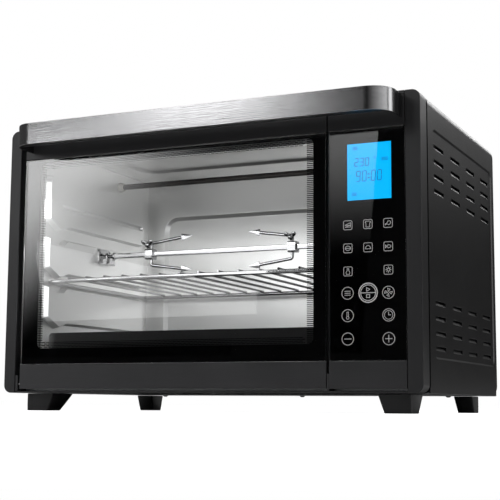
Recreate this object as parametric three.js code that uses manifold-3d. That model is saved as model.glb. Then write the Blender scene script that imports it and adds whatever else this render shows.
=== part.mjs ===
// Countertop mini oven with a drop-down glass door, touch panel, wire rack and rotisserie spit.
// Millimetres. +X is the right-hand side seen from the front, +Y the back, +Z up.
// The origin is on the table, under the middle of the oven's overall box.

import * as THREE from 'three';
import { mergeVertices } from 'three/addons/utils/BufferGeometryUtils.js';
import Module from 'manifold-3d';

const wasm = await Module();
wasm.setup();

// ---------------------------------------------------------------- driving dimensions

const bodyHalfWidth = 250;
const bodyDepth = 328;
const handleReach = 46;
const glandReach = 10;
const footHeight = 20;
const bodyTop = 328;
const frameDepth = 28;
const frameCorner = 9;
const sheet = 1.2;
const gap = 0.3;
const farOutside = 400;

const doorLeft = -228.6;
const doorRight = 148;
const panelLeft = 151;
const frontRight = 233.4;
const pillarInner = 235.3;
const glassBottom = 52.7;
const glassTop = 290.8;
const trimBottom = 24.5;
const railTop = 322.6;
const doorThickness = 14.5;
const hingeDepth = 5;
const hingeHeight = 30;

const platePlane = 17.6;
const cavityLeft = -213;
const cavityRight = 144;
const cavityBack = 268;
const cavityTop = 308;
const cavityFloor = 59;
const padReach = 8;
const guideHeights = [210.4, 153, 94];
const guideHalfGap = 6.75;

const spitDepth = 140;
const spitHeight = 192;
const fanDepth = 200;
const fanHeight = 247;
const lampDepth = 64;
const lampHeight = 250;
const upperHeaters = { upper_front: [38, 292], upper_rear: [190, 290] };
const lowerHeaters = { lower_front: [64, 76], lower_rear: [200, 76] };
const heaterRadius = 3.5;
const probeDepth = 250;
const probeHeight = 290;
const cutoutDepth = 110;
const cutoutHeight = 292;

const finishes = {
  blackPaint: { color: 0x1d1d1e, roughness: 0.5, metalness: 0.3 },
  blackPlastic: { color: 0x141415, roughness: 0.55, metalness: 0 },
  darkSteel: { color: 0x4a4a4c, roughness: 0.35, metalness: 0.9 },
  linerSteel: { color: 0xc9cacb, roughness: 0.4, metalness: 0.8 },
  zincSteel: { color: 0x9c9d9f, roughness: 0.5, metalness: 0.8 },
  chrome: { color: 0xe4e5e7, roughness: 0.12, metalness: 1 },
  heaterSheath: { color: 0x2c2a28, roughness: 0.6, metalness: 0.6 },
  blackGlass: { color: 0x060607, roughness: 0.05, metalness: 0 },
  lampGlass: { color: 0xf1efe6, roughness: 0.1, metalness: 0 },
  display: { color: 0x1fb4f5, roughness: 0.2, metalness: 0 },
  circuitBoard: { color: 0x1e5a34, roughness: 0.5, metalness: 0 },
  rubber: { color: 0x101011, roughness: 0.8, metalness: 0 },
};

// ---------------------------------------------------------------- solids and meshes

// Turns a closed three.js geometry into a manifold-3d solid.
function solid(geometry) {
  geometry.deleteAttribute('normal');
  geometry.deleteAttribute('uv');
  const merged = mergeVertices(geometry, 1e-4);
  return new wasm.Manifold(new wasm.Mesh({
    numProp: 3,
    vertProperties: new Float32Array(merged.attributes.position.array),
    triVerts: new Uint32Array(merged.index.array),
  }));
}

// A block between two limits on each axis.
function block([x0, x1], [y0, y1], [z0, z1]) {
  const geometry = new THREE.BoxGeometry(x1 - x0, y1 - y0, z1 - z0);
  geometry.translate((x0 + x1) / 2, (y0 + y1) / 2, (z0 + z1) / 2);
  return solid(geometry);
}

function straightExtrusion(outline, depth) {
  return new THREE.ExtrudeGeometry(outline, { depth, bevelEnabled: false, curveSegments: 6 });
}

// A straight bar of shape `outline`, given as (y, z) points, from x0 to x1.
function alongX(outline, x0, x1) {
  const geometry = straightExtrusion(outline, x1 - x0);
  geometry.applyMatrix4(new THREE.Matrix4().makeBasis(
    new THREE.Vector3(0, 1, 0), new THREE.Vector3(0, 0, 1), new THREE.Vector3(1, 0, 0)));
  geometry.translate(x0, 0, 0);
  return solid(geometry);
}

// The same along Y, with the outline given as (x, z) points.
function alongY(outline, y0, y1) {
  const geometry = straightExtrusion(outline, y1 - y0);
  geometry.rotateX(Math.PI / 2);
  geometry.translate(0, y1, 0);
  return solid(geometry);
}

// The same along Z, with the outline given as (x, y) points.
function alongZ(outline, z0, z1) {
  const geometry = straightExtrusion(outline, z1 - z0);
  geometry.translate(0, 0, z0);
  return solid(geometry);
}

// A round bar between two points.
function bar(from, to, radius, sides = 12, endRadius = radius) {
  const start = new THREE.Vector3(...from);
  const run = new THREE.Vector3(...to).sub(start);
  const geometry = new THREE.CylinderGeometry(endRadius, radius, run.length(), sides);
  geometry.translate(0, run.length() / 2, 0);
  geometry.applyQuaternion(new THREE.Quaternion().setFromUnitVectors(
    new THREE.Vector3(0, 1, 0), run.clone().normalize()));
  geometry.translate(start.x, start.y, start.z);
  return solid(geometry);
}

// A body turned about an X-parallel axis through (y, z), from [x, radius] points.
function turnedAlongX(profile, y, z, sides = 24) {
  const points = profile.map(([x, radius]) => new THREE.Vector2(radius, x));
  const geometry = new THREE.LatheGeometry(points, sides);
  geometry.rotateZ(-Math.PI / 2);
  geometry.translate(0, y, z);
  return solid(geometry);
}

function roundedRectangle([u0, u1], [v0, v1], radius) {
  const shape = new THREE.Shape();
  shape.moveTo(u0 + radius, v0);
  shape.lineTo(u1 - radius, v0);
  shape.absarc(u1 - radius, v0 + radius, radius, -Math.PI / 2, 0, false);
  shape.lineTo(u1, v1 - radius);
  shape.absarc(u1 - radius, v1 - radius, radius, 0, Math.PI / 2, false);
  shape.lineTo(u0 + radius, v1);
  shape.absarc(u0 + radius, v1 - radius, radius, Math.PI / 2, Math.PI, false);
  shape.lineTo(u0, v0 + radius);
  shape.absarc(u0 + radius, v0 + radius, radius, Math.PI, Math.PI * 1.5, false);
  return shape;
}

function polygon(points) {
  return new THREE.Shape(points.map(([u, v]) => new THREE.Vector2(u, v)));
}

const inOrder = (a, b) => [Math.min(a, b), Math.max(a, b)];
const grown = ([low, high], by) => [low - by, high + by];
const united = (solids) => solids.reduce((sum, next) => sum.add(next));

function mesh(name, shape, finish) {
  const { vertProperties, triVerts } = shape.getMesh();
  const geometry = new THREE.BufferGeometry();
  geometry.setAttribute('position', new THREE.BufferAttribute(vertProperties, 3));
  geometry.setIndex(new THREE.BufferAttribute(triVerts, 1));
  geometry.computeVertexNormals();
  const made = new THREE.Mesh(geometry, new THREE.MeshStandardMaterial(finishes[finish]));
  made.name = name;
  return made;
}

// ---------------------------------------------------------------- casing

const shellHalfWidth = bodyHalfWidth - 1;
const shellRear = bodyDepth - 12;
const shellBottom = footHeight + 0.4;
const shellCorner = 10;
const recessDepths = [47, 310];
const recessHeights = [55.5, 296.5];
const recessCorner = 9.5;
const recessLap = 1.5;
const ventRowsPerGroup = 4;
const ventColumns = 4;
const ventPitch = 67.5;
const ventRise = 15.7;
const ventLength = 38;
const ventHeight = 4.4;
const ventFront = 56;
const ventGroupTops = [281, 116];

// One side's pressed panel: set in a little from the wall around it, with eight rows of louvres.
function sidePanel(side) {
  const span = inOrder(side * (shellHalfWidth - sheet + 0.05), side * (shellHalfWidth - 2 * sheet - 0.25));
  let field = alongX(roundedRectangle(grown(recessDepths, recessLap), grown(recessHeights, recessLap),
    recessCorner + recessLap), ...span);
  for (const top of ventGroupTops) {
    for (let row = 0; row < ventRowsPerGroup; row += 1) {
      for (let column = 0; column < ventColumns; column += 1) {
        const front = ventFront + column * ventPitch;
        const height = top - row * ventRise;
        field = field.subtract(block(grown(span, 1), [front, front + ventLength],
          [height - ventHeight, height]));
      }
    }
  }
  return field;
}

// Top and both sides, bent from one sheet, open at the front, back and underneath.
function outerShell() {
  const outer = roundedRectangle([-shellHalfWidth, shellHalfWidth],
    [-2 * shellCorner, bodyTop], shellCorner);
  const inner = roundedRectangle([sheet - shellHalfWidth, shellHalfWidth - sheet],
    [-3 * shellCorner, bodyTop - sheet], shellCorner - 1);
  let shell = alongY(outer, frameDepth + gap, shellRear)
    .subtract(alongY(inner, 0, bodyDepth))
    .subtract(block([-farOutside, farOutside], [0, bodyDepth], [-farOutside, shellBottom]));
  for (const side of [-1, 1]) {
    const throughWall = grown(inOrder(side * shellHalfWidth, side * shellHalfWidth), 5);
    const recess = alongX(roundedRectangle(recessDepths, recessHeights, recessCorner), ...throughWall);
    shell = shell.subtract(recess).add(sidePanel(side));
  }
  return shell;
}

const coolingSlots = 8;
const lowestSlot = 110;
const slotPitch = 20;
const slotHeight = 5;
const slotSpan = [165, 215];
const glandX = 195;
const glandHeight = 62;
const glandHole = 8.6;

// Pressed steel pan that closes the back, with rounded edges, cooling slots and a hole for the lead.
function rearCover() {
  const front = shellRear + gap;
  const bevel = 8;
  const pan = (inset, rear) => {
    const outline = roundedRectangle([-shellHalfWidth + bevel + inset, shellHalfWidth - bevel - inset],
      [shellBottom + bevel + inset, bodyTop - bevel - inset], 3);
    const geometry = new THREE.ExtrudeGeometry(outline, {
      depth: 40,
      bevelEnabled: true,
      bevelSize: bevel,
      bevelThickness: bevel,
      bevelSegments: 3,
      curveSegments: 2,
    });
    geometry.rotateX(Math.PI / 2);
    geometry.translate(0, rear - bevel, 0);
    return solid(geometry);
  };
  let cover = pan(0, bodyDepth)
    .subtract(pan(sheet, bodyDepth - sheet))
    .subtract(block([-farOutside, farOutside], [front - 80, front], [0, farOutside]));
  for (let row = 0; row < coolingSlots; row += 1) {
    const bottom = lowestSlot + row * slotPitch;
    cover = cover.subtract(block(slotSpan, [front, farOutside], [bottom, bottom + slotHeight]));
  }
  return cover.subtract(bar([glandX, front, glandHeight], [glandX, farOutside, glandHeight],
    glandHole, 20));
}

// The four mouldings round the front are cut from one rounded outline.
function frontMoulding(xSpan, zSpan, ySpan) {
  const outline = roundedRectangle([-bodyHalfWidth, bodyHalfWidth], [footHeight, bodyTop - 0.5],
    frameCorner);
  return alongY(outline, ...ySpan).intersect(block(xSpan, [-1, 60], zSpan));
}

function pillar(side) {
  const inner = side < 0 ? -pillarInner : frontRight + 0.5;
  const span = inOrder(side * (bodyHalfWidth + 1), inner);
  const wall = 2.4;
  const hollow = side < 0 ? [span[0] + 1 + wall, inner - wall] : [inner + wall, span[1] - 1 - wall];
  return frontMoulding(span, [0, farOutside], [0, frameDepth])
    .subtract(block(hollow, [wall, 60], [footHeight + 10, bodyTop - 11]));
}

// A moulded foot. Its outer and end faces stand upright; the other two slope in towards the table.
function foot(side, end, [topWidth, topDepth], [slopeX, slopeY], outerFace, endFace) {
  const height = footHeight - gap;
  const geometry = new THREE.BoxGeometry(topWidth, topDepth, height);
  const corners = geometry.attributes.position;
  for (let i = 0; i < corners.count; i += 1) {
    const atTable = corners.getZ(i) < 0;
    const innerFace = corners.getX(i) * side < 0;
    const slopedEnd = corners.getY(i) * end < 0;
    if (atTable && innerFace) corners.setX(i, corners.getX(i) + side * slopeX);
    if (atTable && slopedEnd) corners.setY(i, corners.getY(i) + end * slopeY);
  }
  geometry.translate(side * (outerFace - topWidth / 2), endFace - (end * topDepth) / 2, height / 2);
  return solid(geometry);
}

const frontFoot = (side) => foot(side, -1, [36, 43], [7, 16], 231.5, 20);
const rearFoot = (side) => foot(side, 1, [23, 32], [3, 8], 230, 304);

const railSpan = [-pillarInner + gap, frontRight + 0.5 - gap];
const casing = [
  mesh('outer_shell', outerShell(), 'blackPaint'),
  mesh('rear_cover', rearCover(), 'blackPaint'),
  mesh('base_plate', block([-247.4, 247.4], [frameDepth + gap, shellRear],
    [footHeight + 0.2, footHeight + 0.2 + sheet]), 'zincSteel'),
  mesh('left_pillar', pillar(-1), 'blackPlastic'),
  mesh('right_pillar', pillar(1), 'blackPlastic'),
  mesh('top_rail', frontMoulding(railSpan, [railTop + 0.9, farOutside], [0.6, frameDepth]), 'blackPlastic'),
  mesh('bottom_rail', frontMoulding(railSpan, [0, 22.1], [1.5, frameDepth]), 'blackPlastic'),
  mesh('foot_front_left', frontFoot(-1), 'blackPlastic'),
  mesh('foot_front_right', frontFoot(1), 'blackPlastic'),
  mesh('foot_rear_left', rearFoot(-1), 'blackPlastic'),
  mesh('foot_rear_right', rearFoot(1), 'blackPlastic'),
];

// Strain-relief bush where the supply lead enters the back.
const glandProfile = [[bodyDepth - 8, 4], [bodyDepth - 8, 8.2], [bodyDepth + gap, 8.2],
  [bodyDepth + gap, 12], [bodyDepth + 4, 12], [bodyDepth + glandReach, 8], [bodyDepth + glandReach, 4],
  [bodyDepth - 8, 4]];
const gland = new THREE.LatheGeometry(
  glandProfile.map(([depth, radius]) => new THREE.Vector2(radius, depth)), 20);
gland.translate(glandX, 0, glandHeight);
casing.push(mesh('cord_gland', solid(gland), 'rubber'));

// ---------------------------------------------------------------- cavity

// Each rack guide is the level gap between two pads. At the front it flares open, ramps down
// into a dip that stops the rack sliding out by itself, and steps up to the level run.
const guideFloor = [[20, 0], [35, -6.5], [52, -6.5], [59, 0]];
const guideRoof = [[20, 6.5], [43, -5.5], [53, -3], [60, 0]];
const padRear = 243;
const padTop = 277;
const flangeHeights = [62.6, 283.6];

// One pressed pad between the guide above it and the guide below, as a (depth, height) outline.
function padOutline(guideAbove, guideBelow) {
  const lower = guideRoof.map(([depth, rise]) => [depth, guideBelow + guideHalfGap + rise]);
  const bottomRear = [padRear, guideBelow + guideHalfGap];
  if (!guideAbove) {
    return polygon([...lower, bottomRear, [padRear, padTop], [24, padTop], [20, padTop - 6]]);
  }
  const upper = guideFloor.map(([depth, rise]) => [depth, guideAbove - guideHalfGap + rise]);
  return polygon([...lower, bottomRear, [padRear, guideAbove - guideHalfGap], ...upper.reverse()]);
}

// A side wall of the cavity: one pressed sheet with a flange at the front and three hollow pads.
function sideLiner(side) {
  const face = side < 0 ? cavityLeft : cavityRight;
  const flangeReach = side < 0 ? 21.5 : 60;
  const span = (from, to) => inOrder(face + side * from, face + side * to);
  let wall = block(span(0, sheet), [platePlane + sheet + gap, cavityBack - gap],
    [cavityFloor + 1.5, cavityTop - gap])
    .add(block(span(0, flangeReach), [platePlane, platePlane + sheet], flangeHeights))
    .add(block(span(0, sheet), [platePlane, platePlane + 3], flangeHeights));
  const pads = [
    padOutline(null, guideHeights[0]),
    padOutline(guideHeights[0], guideHeights[1]),
    padOutline(guideHeights[1], guideHeights[2]),
  ];
  for (const outline of pads) {
    wall = wall.add(alongX(outline, ...span(-padReach, 0.5)));
    const hollow = alongX(outline, ...span(-padReach, 8));
    const { min, max } = hollow.boundingBox();
    const centre = [0, 1, 2].map((i) => (min[i] + max[i]) / 2);
    const shrink = (i) => 1 - (2 * sheet) / (max[i] - min[i]);
    wall = wall.subtract(hollow
      .translate(centre.map((value) => -value))
      .scale([1, shrink(1), shrink(2) - 0.02])
      .translate(centre)
      .translate([side * sheet, 0, 0]));
  }
  const trayGuide = block(span(-padReach, 0.5), [41, padRear], [81, 81 + sheet + 0.2]);
  wall = wall.add(trayGuide);
  for (const [depth, height] of [...Object.values(upperHeaters), ...Object.values(lowerHeaters)]) {
    wall = wall.subtract(bar([face - 20, depth, height], [face + 20, depth, height],
      heaterRadius + 0.6, 10));
  }
  return wall;
}

function rightLiner() {
  let wall = sideLiner(1);
  const through = (depth, height, radius, sides) => bar([cavityRight - 20, depth, height],
    [cavityRight + 20, depth, height], radius, sides);
  wall = wall.subtract(through(spitDepth, spitHeight, 9, 20));
  wall = wall.subtract(through(lampDepth, lampHeight, 16, 20));
  wall = wall.subtract(through(probeDepth, probeHeight, 3.2, 10));
  const slots = 10;
  for (let slot = 0; slot < slots; slot += 1) {
    const angle = (slot / slots) * Math.PI * 2;
    const spoke = block([cavityRight - 20, cavityRight + 20], [9, 23], [-2.4, 2.4]);
    wall = wall.subtract(spoke.rotate([(angle * 180) / Math.PI, 0, 0]).translate([0, fanDepth, fanHeight]));
  }
  return wall;
}

// The back wall, with a broad rounded panel pressed a little towards the cavity.
function backLiner() {
  const middle = (cavityLeft + cavityRight) / 2;
  const half = 152;
  const raised = 3;
  const field = (inset) => roundedRectangle([middle - half + inset, middle + half - inset],
    [84 + inset, 259 - inset], 20);
  return block([cavityLeft - sheet, cavityRight + sheet], [cavityBack, cavityBack + sheet],
    [cavityFloor + 0.5, cavityTop - gap])
    .add(alongY(field(0), cavityBack - raised, cavityBack + 0.5))
    .subtract(alongY(field(sheet), cavityBack - raised + sheet, cavityBack + 5));
}

const acrossFront = [-234.8, frontRight - 0.2];
const roofSpan = [cavityLeft - 2, cavityRight + 2];
const roofDepths = [platePlane + sheet + gap, cavityBack + sheet];

// A notch in the header's fold where a side wall's front edge passes it.
const headerNotch = (low, high) => block([low, high], [platePlane + sheet, 60], [280, 290]);

const cavity = [
  mesh('liner_left', sideLiner(-1), 'linerSteel'),
  mesh('liner_right', rightLiner(), 'linerSteel'),
  mesh('liner_back', backLiner(), 'linerSteel'),
  mesh('liner_top', block(roofSpan, roofDepths, [cavityTop, cavityTop + sheet]), 'linerSteel'),
  mesh('liner_floor', block(roofSpan, roofDepths, [cavityFloor - sheet, cavityFloor]), 'linerSteel'),
  mesh('front_header', block(acrossFront, [platePlane, platePlane + sheet], [284, 322.8])
    .add(block(acrossFront, [platePlane, platePlane + 6], [284, 284 + sheet]))
    .subtract(headerNotch(cavityLeft - sheet - 0.4, cavityLeft + 0.4))
    .subtract(headerNotch(cavityRight - 0.4, cavityRight + sheet + 0.4)),
  'linerSteel'),
  mesh('front_sill', block(acrossFront, [platePlane, platePlane + sheet], [22.5, 62]), 'zincSteel'),
];

// ---------------------------------------------------------------- heating

for (const [place, [depth, height]] of Object.entries({ ...upperHeaters, ...lowerHeaters })) {
  cavity.push(mesh(`heater_${place}`, turnedAlongX([[-226, 0], [-226, 2], [-221, 2], [-221, heaterRadius],
    [158, heaterRadius], [158, 2], [163, 2], [163, 0]], depth, height, 12), 'heaterSheath'));
}

cavity.push(
  mesh('lamp_lens', turnedAlongX([[127, 0], [128, 7], [131, 12], [135.4, 14.5], [146, 14.5], [146, 11],
    [135, 11], [130, 5], [129.5, 0]], lampDepth, lampHeight, 20), 'lampGlass'),
  mesh('lamp_holder', turnedAlongX([[133, 0], [133, 4], [138, 6], [146.4, 6], [146.4, 14], [166, 14],
    [166, 0]], lampDepth, lampHeight, 20), 'zincSteel'),
  mesh('temperature_probe', turnedAlongX([[108, 0], [109, 2.5], [145.6, 2.5], [145.6, 6], [152, 6],
    [152, 0]], probeDepth, probeHeight, 12), 'chrome'),
  mesh('thermal_cutout', turnedAlongX([[145.6, 0], [145.6, 9], [151, 9], [151, 6], [156, 6], [156, 0]],
    cutoutDepth, cutoutHeight, 20), 'blackPlastic'),
);

// ---------------------------------------------------------------- rotisserie

const halfBar = 3;
const halfBore = halfBar + 0.4;

const squareOnSpit = (span, half) => block(span, grown([spitDepth, spitDepth], half),
  grown([spitHeight, spitHeight], half));
const roundOnSpit = ([x0, x1], radius, sides, endRadius = radius) => bar([x0, spitDepth, spitHeight],
  [x1, spitDepth, spitHeight], radius, sides, endRadius);

const spitRod = united([
  squareOnSpit([-190, 132], halfBar),
  roundOnSpit([-203, -189], 2.5, 12),
  roundOnSpit([-200, -197.5], 4.6, 16),
  roundOnSpit([-190.5, -188], 4.6, 16),
  roundOnSpit([131, 143], 3, 12, 1.2),
]);

const forkHubX = -136;
const forkHubSpacing = 189;
const prongSpread = 14;
const tipSpread = 21;
const prongLength = 57;

// A two-pronged meat fork, its prongs pointing to +X from a hub at the origin.
function fork() {
  const prongs = [-1, 1].flatMap((side) => {
    const base = [3, 0, side * prongSpread];
    const neck = [prongLength - 15, 0, side * (tipSpread - 1.6)];
    return [
      bar([0, 0, side * 5], [0, 0, side * prongSpread], 2, 8),
      bar([0, 0, side * prongSpread], base, 2, 8),
      bar(base, neck, 2, 8),
      bar(neck, [prongLength, 0, side * tipSpread], 3.1, 8, 0.3),
    ];
  });
  return united([
    block([-6, 4], [-6.5, 6.5], [-6.5, 6.5]),
    ...prongs,
    ...[-1, 1].map((side) => bar([2, 0, side * (prongSpread - 1)], [2, 0, side * (prongSpread + 1)], 2, 8)),
  ]).subtract(block([-10, 10], [-halfBore, halfBore], [-halfBore, halfBore]));
}

const screwTilt = new THREE.Vector3(0, -0.6, 0.8);

// A winged thumbscrew standing on a fork's hub.
function thumbscrew(x) {
  const at = (distance) => [x, spitDepth + screwTilt.y * distance, spitHeight + screwTilt.z * distance];
  const wings = [-1, 1].map((side) => {
    const end = at(20);
    return bar(at(15), [end[0] + side * 6, end[1], end[2]], 1.4, 8);
  });
  return united([bar(at(9.4), at(15), 2, 10), bar(at(12), at(16), 3.6, 12), ...wings]);
}

const leftFork = fork().translate([forkHubX, spitDepth, spitHeight]);
const rightFork = fork().mirror([1, 0, 0])
  .translate([forkHubX + forkHubSpacing, spitDepth, spitHeight]);

const rotisserie = [
  mesh('spit_rod', spitRod, 'chrome'),
  mesh('fork_left', leftFork, 'chrome'),
  mesh('fork_right', rightFork, 'chrome'),
  mesh('thumbscrew_left', thumbscrew(forkHubX - 1), 'chrome'),
  mesh('thumbscrew_right', thumbscrew(forkHubX + forkHubSpacing + 1), 'chrome'),
  mesh('drive_socket', turnedAlongX([[126, 0], [126, 8], [158, 8], [158, 5], [164, 5], [164, 0]],
    spitDepth, spitHeight, 20).subtract(squareOnSpit([120, 146], halfBore)), 'chrome'),
];

// Saddle on the left wall that carries the round end of the spit.
const saddleX = -195;
const saddlePlate = united([
  block([-204.7, -203.5], grown([spitDepth, spitDepth], 14), [181.5, 201]),
  block([-204, saddleX + 1], grown([spitDepth, spitDepth], 10), [181.5, 183]),
  block([saddleX - 0.2, saddleX + 1], grown([spitDepth, spitDepth], 10), [182, 194]),
]);
const saddleSeat = roundOnSpit([saddleX - 5, saddleX + 5], 3.2, 16)
  .add(block([saddleX - 2, saddleX + 5], grown([spitDepth, spitDepth], 3.2), [spitHeight, 210]));

cavity.push(
  mesh('spit_holder', saddlePlate.subtract(saddleSeat), 'chrome'),
  mesh('spit_motor', turnedAlongX([[158.5, 5.5], [158.5, 25], [184, 25], [184, 0], [166, 0], [166, 5.5],
    [158.5, 5.5]], spitDepth, spitHeight, 20), 'zincSteel'),
);

// ---------------------------------------------------------------- convection fan

function fanBlade() {
  const hub = turnedAlongX([[148, 0], [148, 6], [158, 6], [158, 3], [164, 3], [164, 0]], 0, 0, 16);
  const blades = [];
  const bladeCount = 6;
  for (let i = 0; i < bladeCount; i += 1) {
    const blade = block([-0.6, 0.6], [4, 30], [-8, 8])
      .rotate([0, 25, 0])
      .translate([152.5, 0, 0])
      .rotate([(i * 360) / bladeCount, 0, 0]);
    blades.push(blade);
  }
  return united([hub, ...blades]).translate([0, fanDepth, fanHeight]);
}

cavity.push(mesh('fan_motor', turnedAlongX([[160, 3.5], [160, 22], [190, 22], [190, 0], [166, 0],
  [166, 3.5], [160, 3.5]], fanDepth, fanHeight, 20), 'zincSteel'));
const fan = [mesh('fan_blade', fanBlade(), 'zincSteel')];

// ---------------------------------------------------------------- control panel

const windowX = [168, 221.5];
const windowZ = [213.5, 280];
const carrier = block([panelLeft, frontRight], [3.3, 16], [trimBottom, glassTop])
  .subtract(block([panelLeft + 2, frontRight - 2], [6, 20], [trimBottom + 2, glassTop - 2]))
  .subtract(block(windowX, [0, 20], windowZ));

const boardParts = [
  block([157, 228], [10, 11.6], [66, 208]),
  block([170, 190], [11, 15.5], [100, 120]),
  block([200, 216], [11, 14.5], [150, 160]),
];

const powerParts = [
  block([222, 223.6], [70, 190], [40, 150]),
  block([208, 223], [90, 112], [60, 80]),
  block([208, 223], [120, 142], [60, 80]),
  block([196, 223], [150, 180], [90, 130]),
];

const lcdSpan = grown(windowX, -0.5);
const lcdHeights = grown(windowZ, -0.5);
const fixedFront = [
  mesh('panel_glass', block([panelLeft, frontRight], [0, 3], [glassBottom, glassTop]), 'blackGlass'),
  mesh('panel_bottom_trim', block([panelLeft, frontRight], [0, 1.5], [trimBottom, glassBottom - 0.5]),
    'darkSteel'),
  mesh('panel_carrier', carrier, 'blackPlastic'),
  mesh('lcd_module', block(lcdSpan, [3.4, 9], lcdHeights), 'display'),
  mesh('control_board', united(boardParts), 'circuitBoard'),
  mesh('power_board', united(powerParts), 'circuitBoard'),
];

// ---------------------------------------------------------------- door

const handleLeft = -219.5;
const handleRight = 231;
const handleBottom = 298.6;
const handleTop = 323.2;
const handleBend = 26;
const handleSkin = 1.6;
const gripDepth = 15;

// Plan of the handle: straight across the front and bent back at both ends, drawn in by `inset`.
function handlePlan(inset) {
  const [left, right] = [handleLeft + inset, handleRight - inset];
  const front = -handleReach + inset;
  const bend = handleBend - inset;
  const shape = new THREE.Shape();
  shape.moveTo(left, -gap + inset);
  shape.lineTo(left, front + bend);
  shape.absarc(left + bend, front + bend, bend, Math.PI, Math.PI * 1.5, false);
  shape.lineTo(right - bend, front);
  shape.absarc(right - bend, front + bend, bend, -Math.PI / 2, 0, false);
  shape.lineTo(right, -gap + inset);
  return shape;
}

const handleBand = alongZ(handlePlan(0), handleBottom, handleTop)
  .subtract(alongZ(handlePlan(handleSkin), handleBottom - 1, handleTop + 1));
const handleGrip = alongZ(handlePlan(handleSkin + gap), handleBottom + 0.8, handleTop - 0.8)
  .intersect(block([-farOutside, farOutside], [-farOutside, gripDepth - handleReach], [0, farOutside]));

const channel = (x0, x1) => block([x0, x1], [4.3, doorThickness], [25, glassTop]);
const onHinge = (x0, x1, radius) => bar([x0, hingeDepth, hingeHeight], [x1, hingeDepth, hingeHeight],
  radius, 16);
const pinRadius = 3;
const tabHole = pinRadius + 0.4;
const leftChannel = channel(doorLeft + 0.3, -215).subtract(onHinge(-240, -210, pinRadius + 0.3));
const rightChannel = channel(134.7, doorRight - 0.3).subtract(onHinge(130, 150, pinRadius + 0.3));

const door = [
  mesh('door_glass', block([doorLeft, doorRight], [0, 4], [glassBottom, glassTop]), 'blackGlass'),
  mesh('door_top_rail', block([doorLeft, frontRight], [0, doorThickness], [glassTop + gap, railTop]),
    'blackPlastic'),
  mesh('door_bottom_trim', block([doorLeft, doorRight], [0, 1.5], [trimBottom, glassBottom - 0.4])
    .subtract(onHinge(-240, 160, tabHole)), 'darkSteel'),
  mesh('door_channel_left', leftChannel, 'blackPaint'),
  mesh('door_channel_right', rightChannel, 'blackPaint'),
  mesh('door_lower_rail', block([-214.7, 134.4], [4.3, 14], [25, 50]), 'blackPaint'),
  mesh('handle_band', handleBand, 'darkSteel'),
  mesh('handle_grip', handleGrip, 'blackPlastic'),
  mesh('hinge_pin_left', onHinge(-234.4, -217, pinRadius), 'chrome'),
  mesh('hinge_pin_right', onHinge(136, 150.5, pinRadius), 'chrome'),
];

// Steel tabs on the cabinet that the hinge pins turn in.
const hingeTab = (x0, x1) => block([x0, x1], [0.8, platePlane - gap], [22.6, 40])
  .subtract(onHinge(x0 - 5, x1 + 5, tabHole));
fixedFront.push(
  mesh('hinge_tab_left', hingeTab(-234.6, -231.6), 'zincSteel'),
  mesh('hinge_tab_right', hingeTab(148.6, 150.6), 'zincSteel'),
);

// Coil springs under the cavity floor that balance the door; each is the outer shape of its coil.
for (const [side, x] of [['left', -222], ['right', 140]]) {
  const coil = new THREE.LatheGeometry([[3, 26], [4.5, 26], [4.5, 96], [3, 96], [3, 26]]
    .map(([radius, y]) => new THREE.Vector2(radius, y)), 12);
  coil.translate(x, 0, 36);
  fixedFront.push(mesh(`door_spring_${side}`, solid(coil), 'zincSteel'));
}

// ---------------------------------------------------------------- rack and crumb tray

const rimRadius = 2.5;
const wireRadius = 1.5;
const rackHeight = guideHeights[1] - guideHalfGap + rimRadius + 0.5;
const rackFront = 23;
const rackRear = 252;
const rackHalfWidth = 174.5;
const rackMiddle = (cavityLeft + cavityRight) / 2;
const wirePitch = 24.1;

// A closed rim of thick wire with thirteen thinner wires welded across its top.
function wireRack() {
  const [left, right] = [rackMiddle - rackHalfWidth, rackMiddle + rackHalfWidth];
  const corner = 7;
  const loop = (by) => roundedRectangle(grown([left, right], by), grown([rackFront, rackRear], by),
    corner + by);
  const rim = alongZ(loop(rimRadius), rackHeight - rimRadius, rackHeight + rimRadius)
    .subtract(alongZ(loop(-rimRadius), rackHeight - 9, rackHeight + 9));
  const wireHeight = rackHeight + 3.2;
  const wires = [];
  for (let i = -6; i <= 6; i += 1) {
    const x = rackMiddle + i * wirePitch;
    wires.push(bar([x, rackFront - 1, wireHeight], [x, rackRear + 1, wireHeight], wireRadius, 6));
  }
  return united([rim, ...wires]);
}

const trayX = [-206, 137];
const trayDepths = [19, 262];
const trayBottom = 64;
const trayEdge = [trayBottom, 69.5];
const tray = united([
  block(trayX, trayDepths, [trayBottom, trayBottom + sheet]),
  block(trayX, [trayDepths[0], trayDepths[0] + sheet], [trayBottom, 88]),
  block(trayX, [trayDepths[1] - sheet, trayDepths[1]], trayEdge),
  block([trayX[0], trayX[0] + sheet], trayDepths, trayEdge),
  block([trayX[1] - sheet, trayX[1]], trayDepths, trayEdge),
]);

const shelves = [
  mesh('wire_rack', wireRack(), 'chrome'),
  mesh('crumb_tray', tray, 'darkSteel'),
];

// ---------------------------------------------------------------- assembly

// Everything above is measured back from the front face, so one group moves it all to the origin.
const measuredFromFront = new THREE.Group();
measuredFromFront.position.y = (handleReach - bodyDepth - glandReach) / 2;
measuredFromFront.add(...casing, ...cavity, ...rotisserie, ...fan, ...fixedFront, ...door, ...shelves);

const oven = new THREE.Group();
oven.add(measuredFromFront);

export default oven;
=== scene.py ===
import math

import bmesh
import bpy
from mathutils import Matrix, Vector


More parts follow.
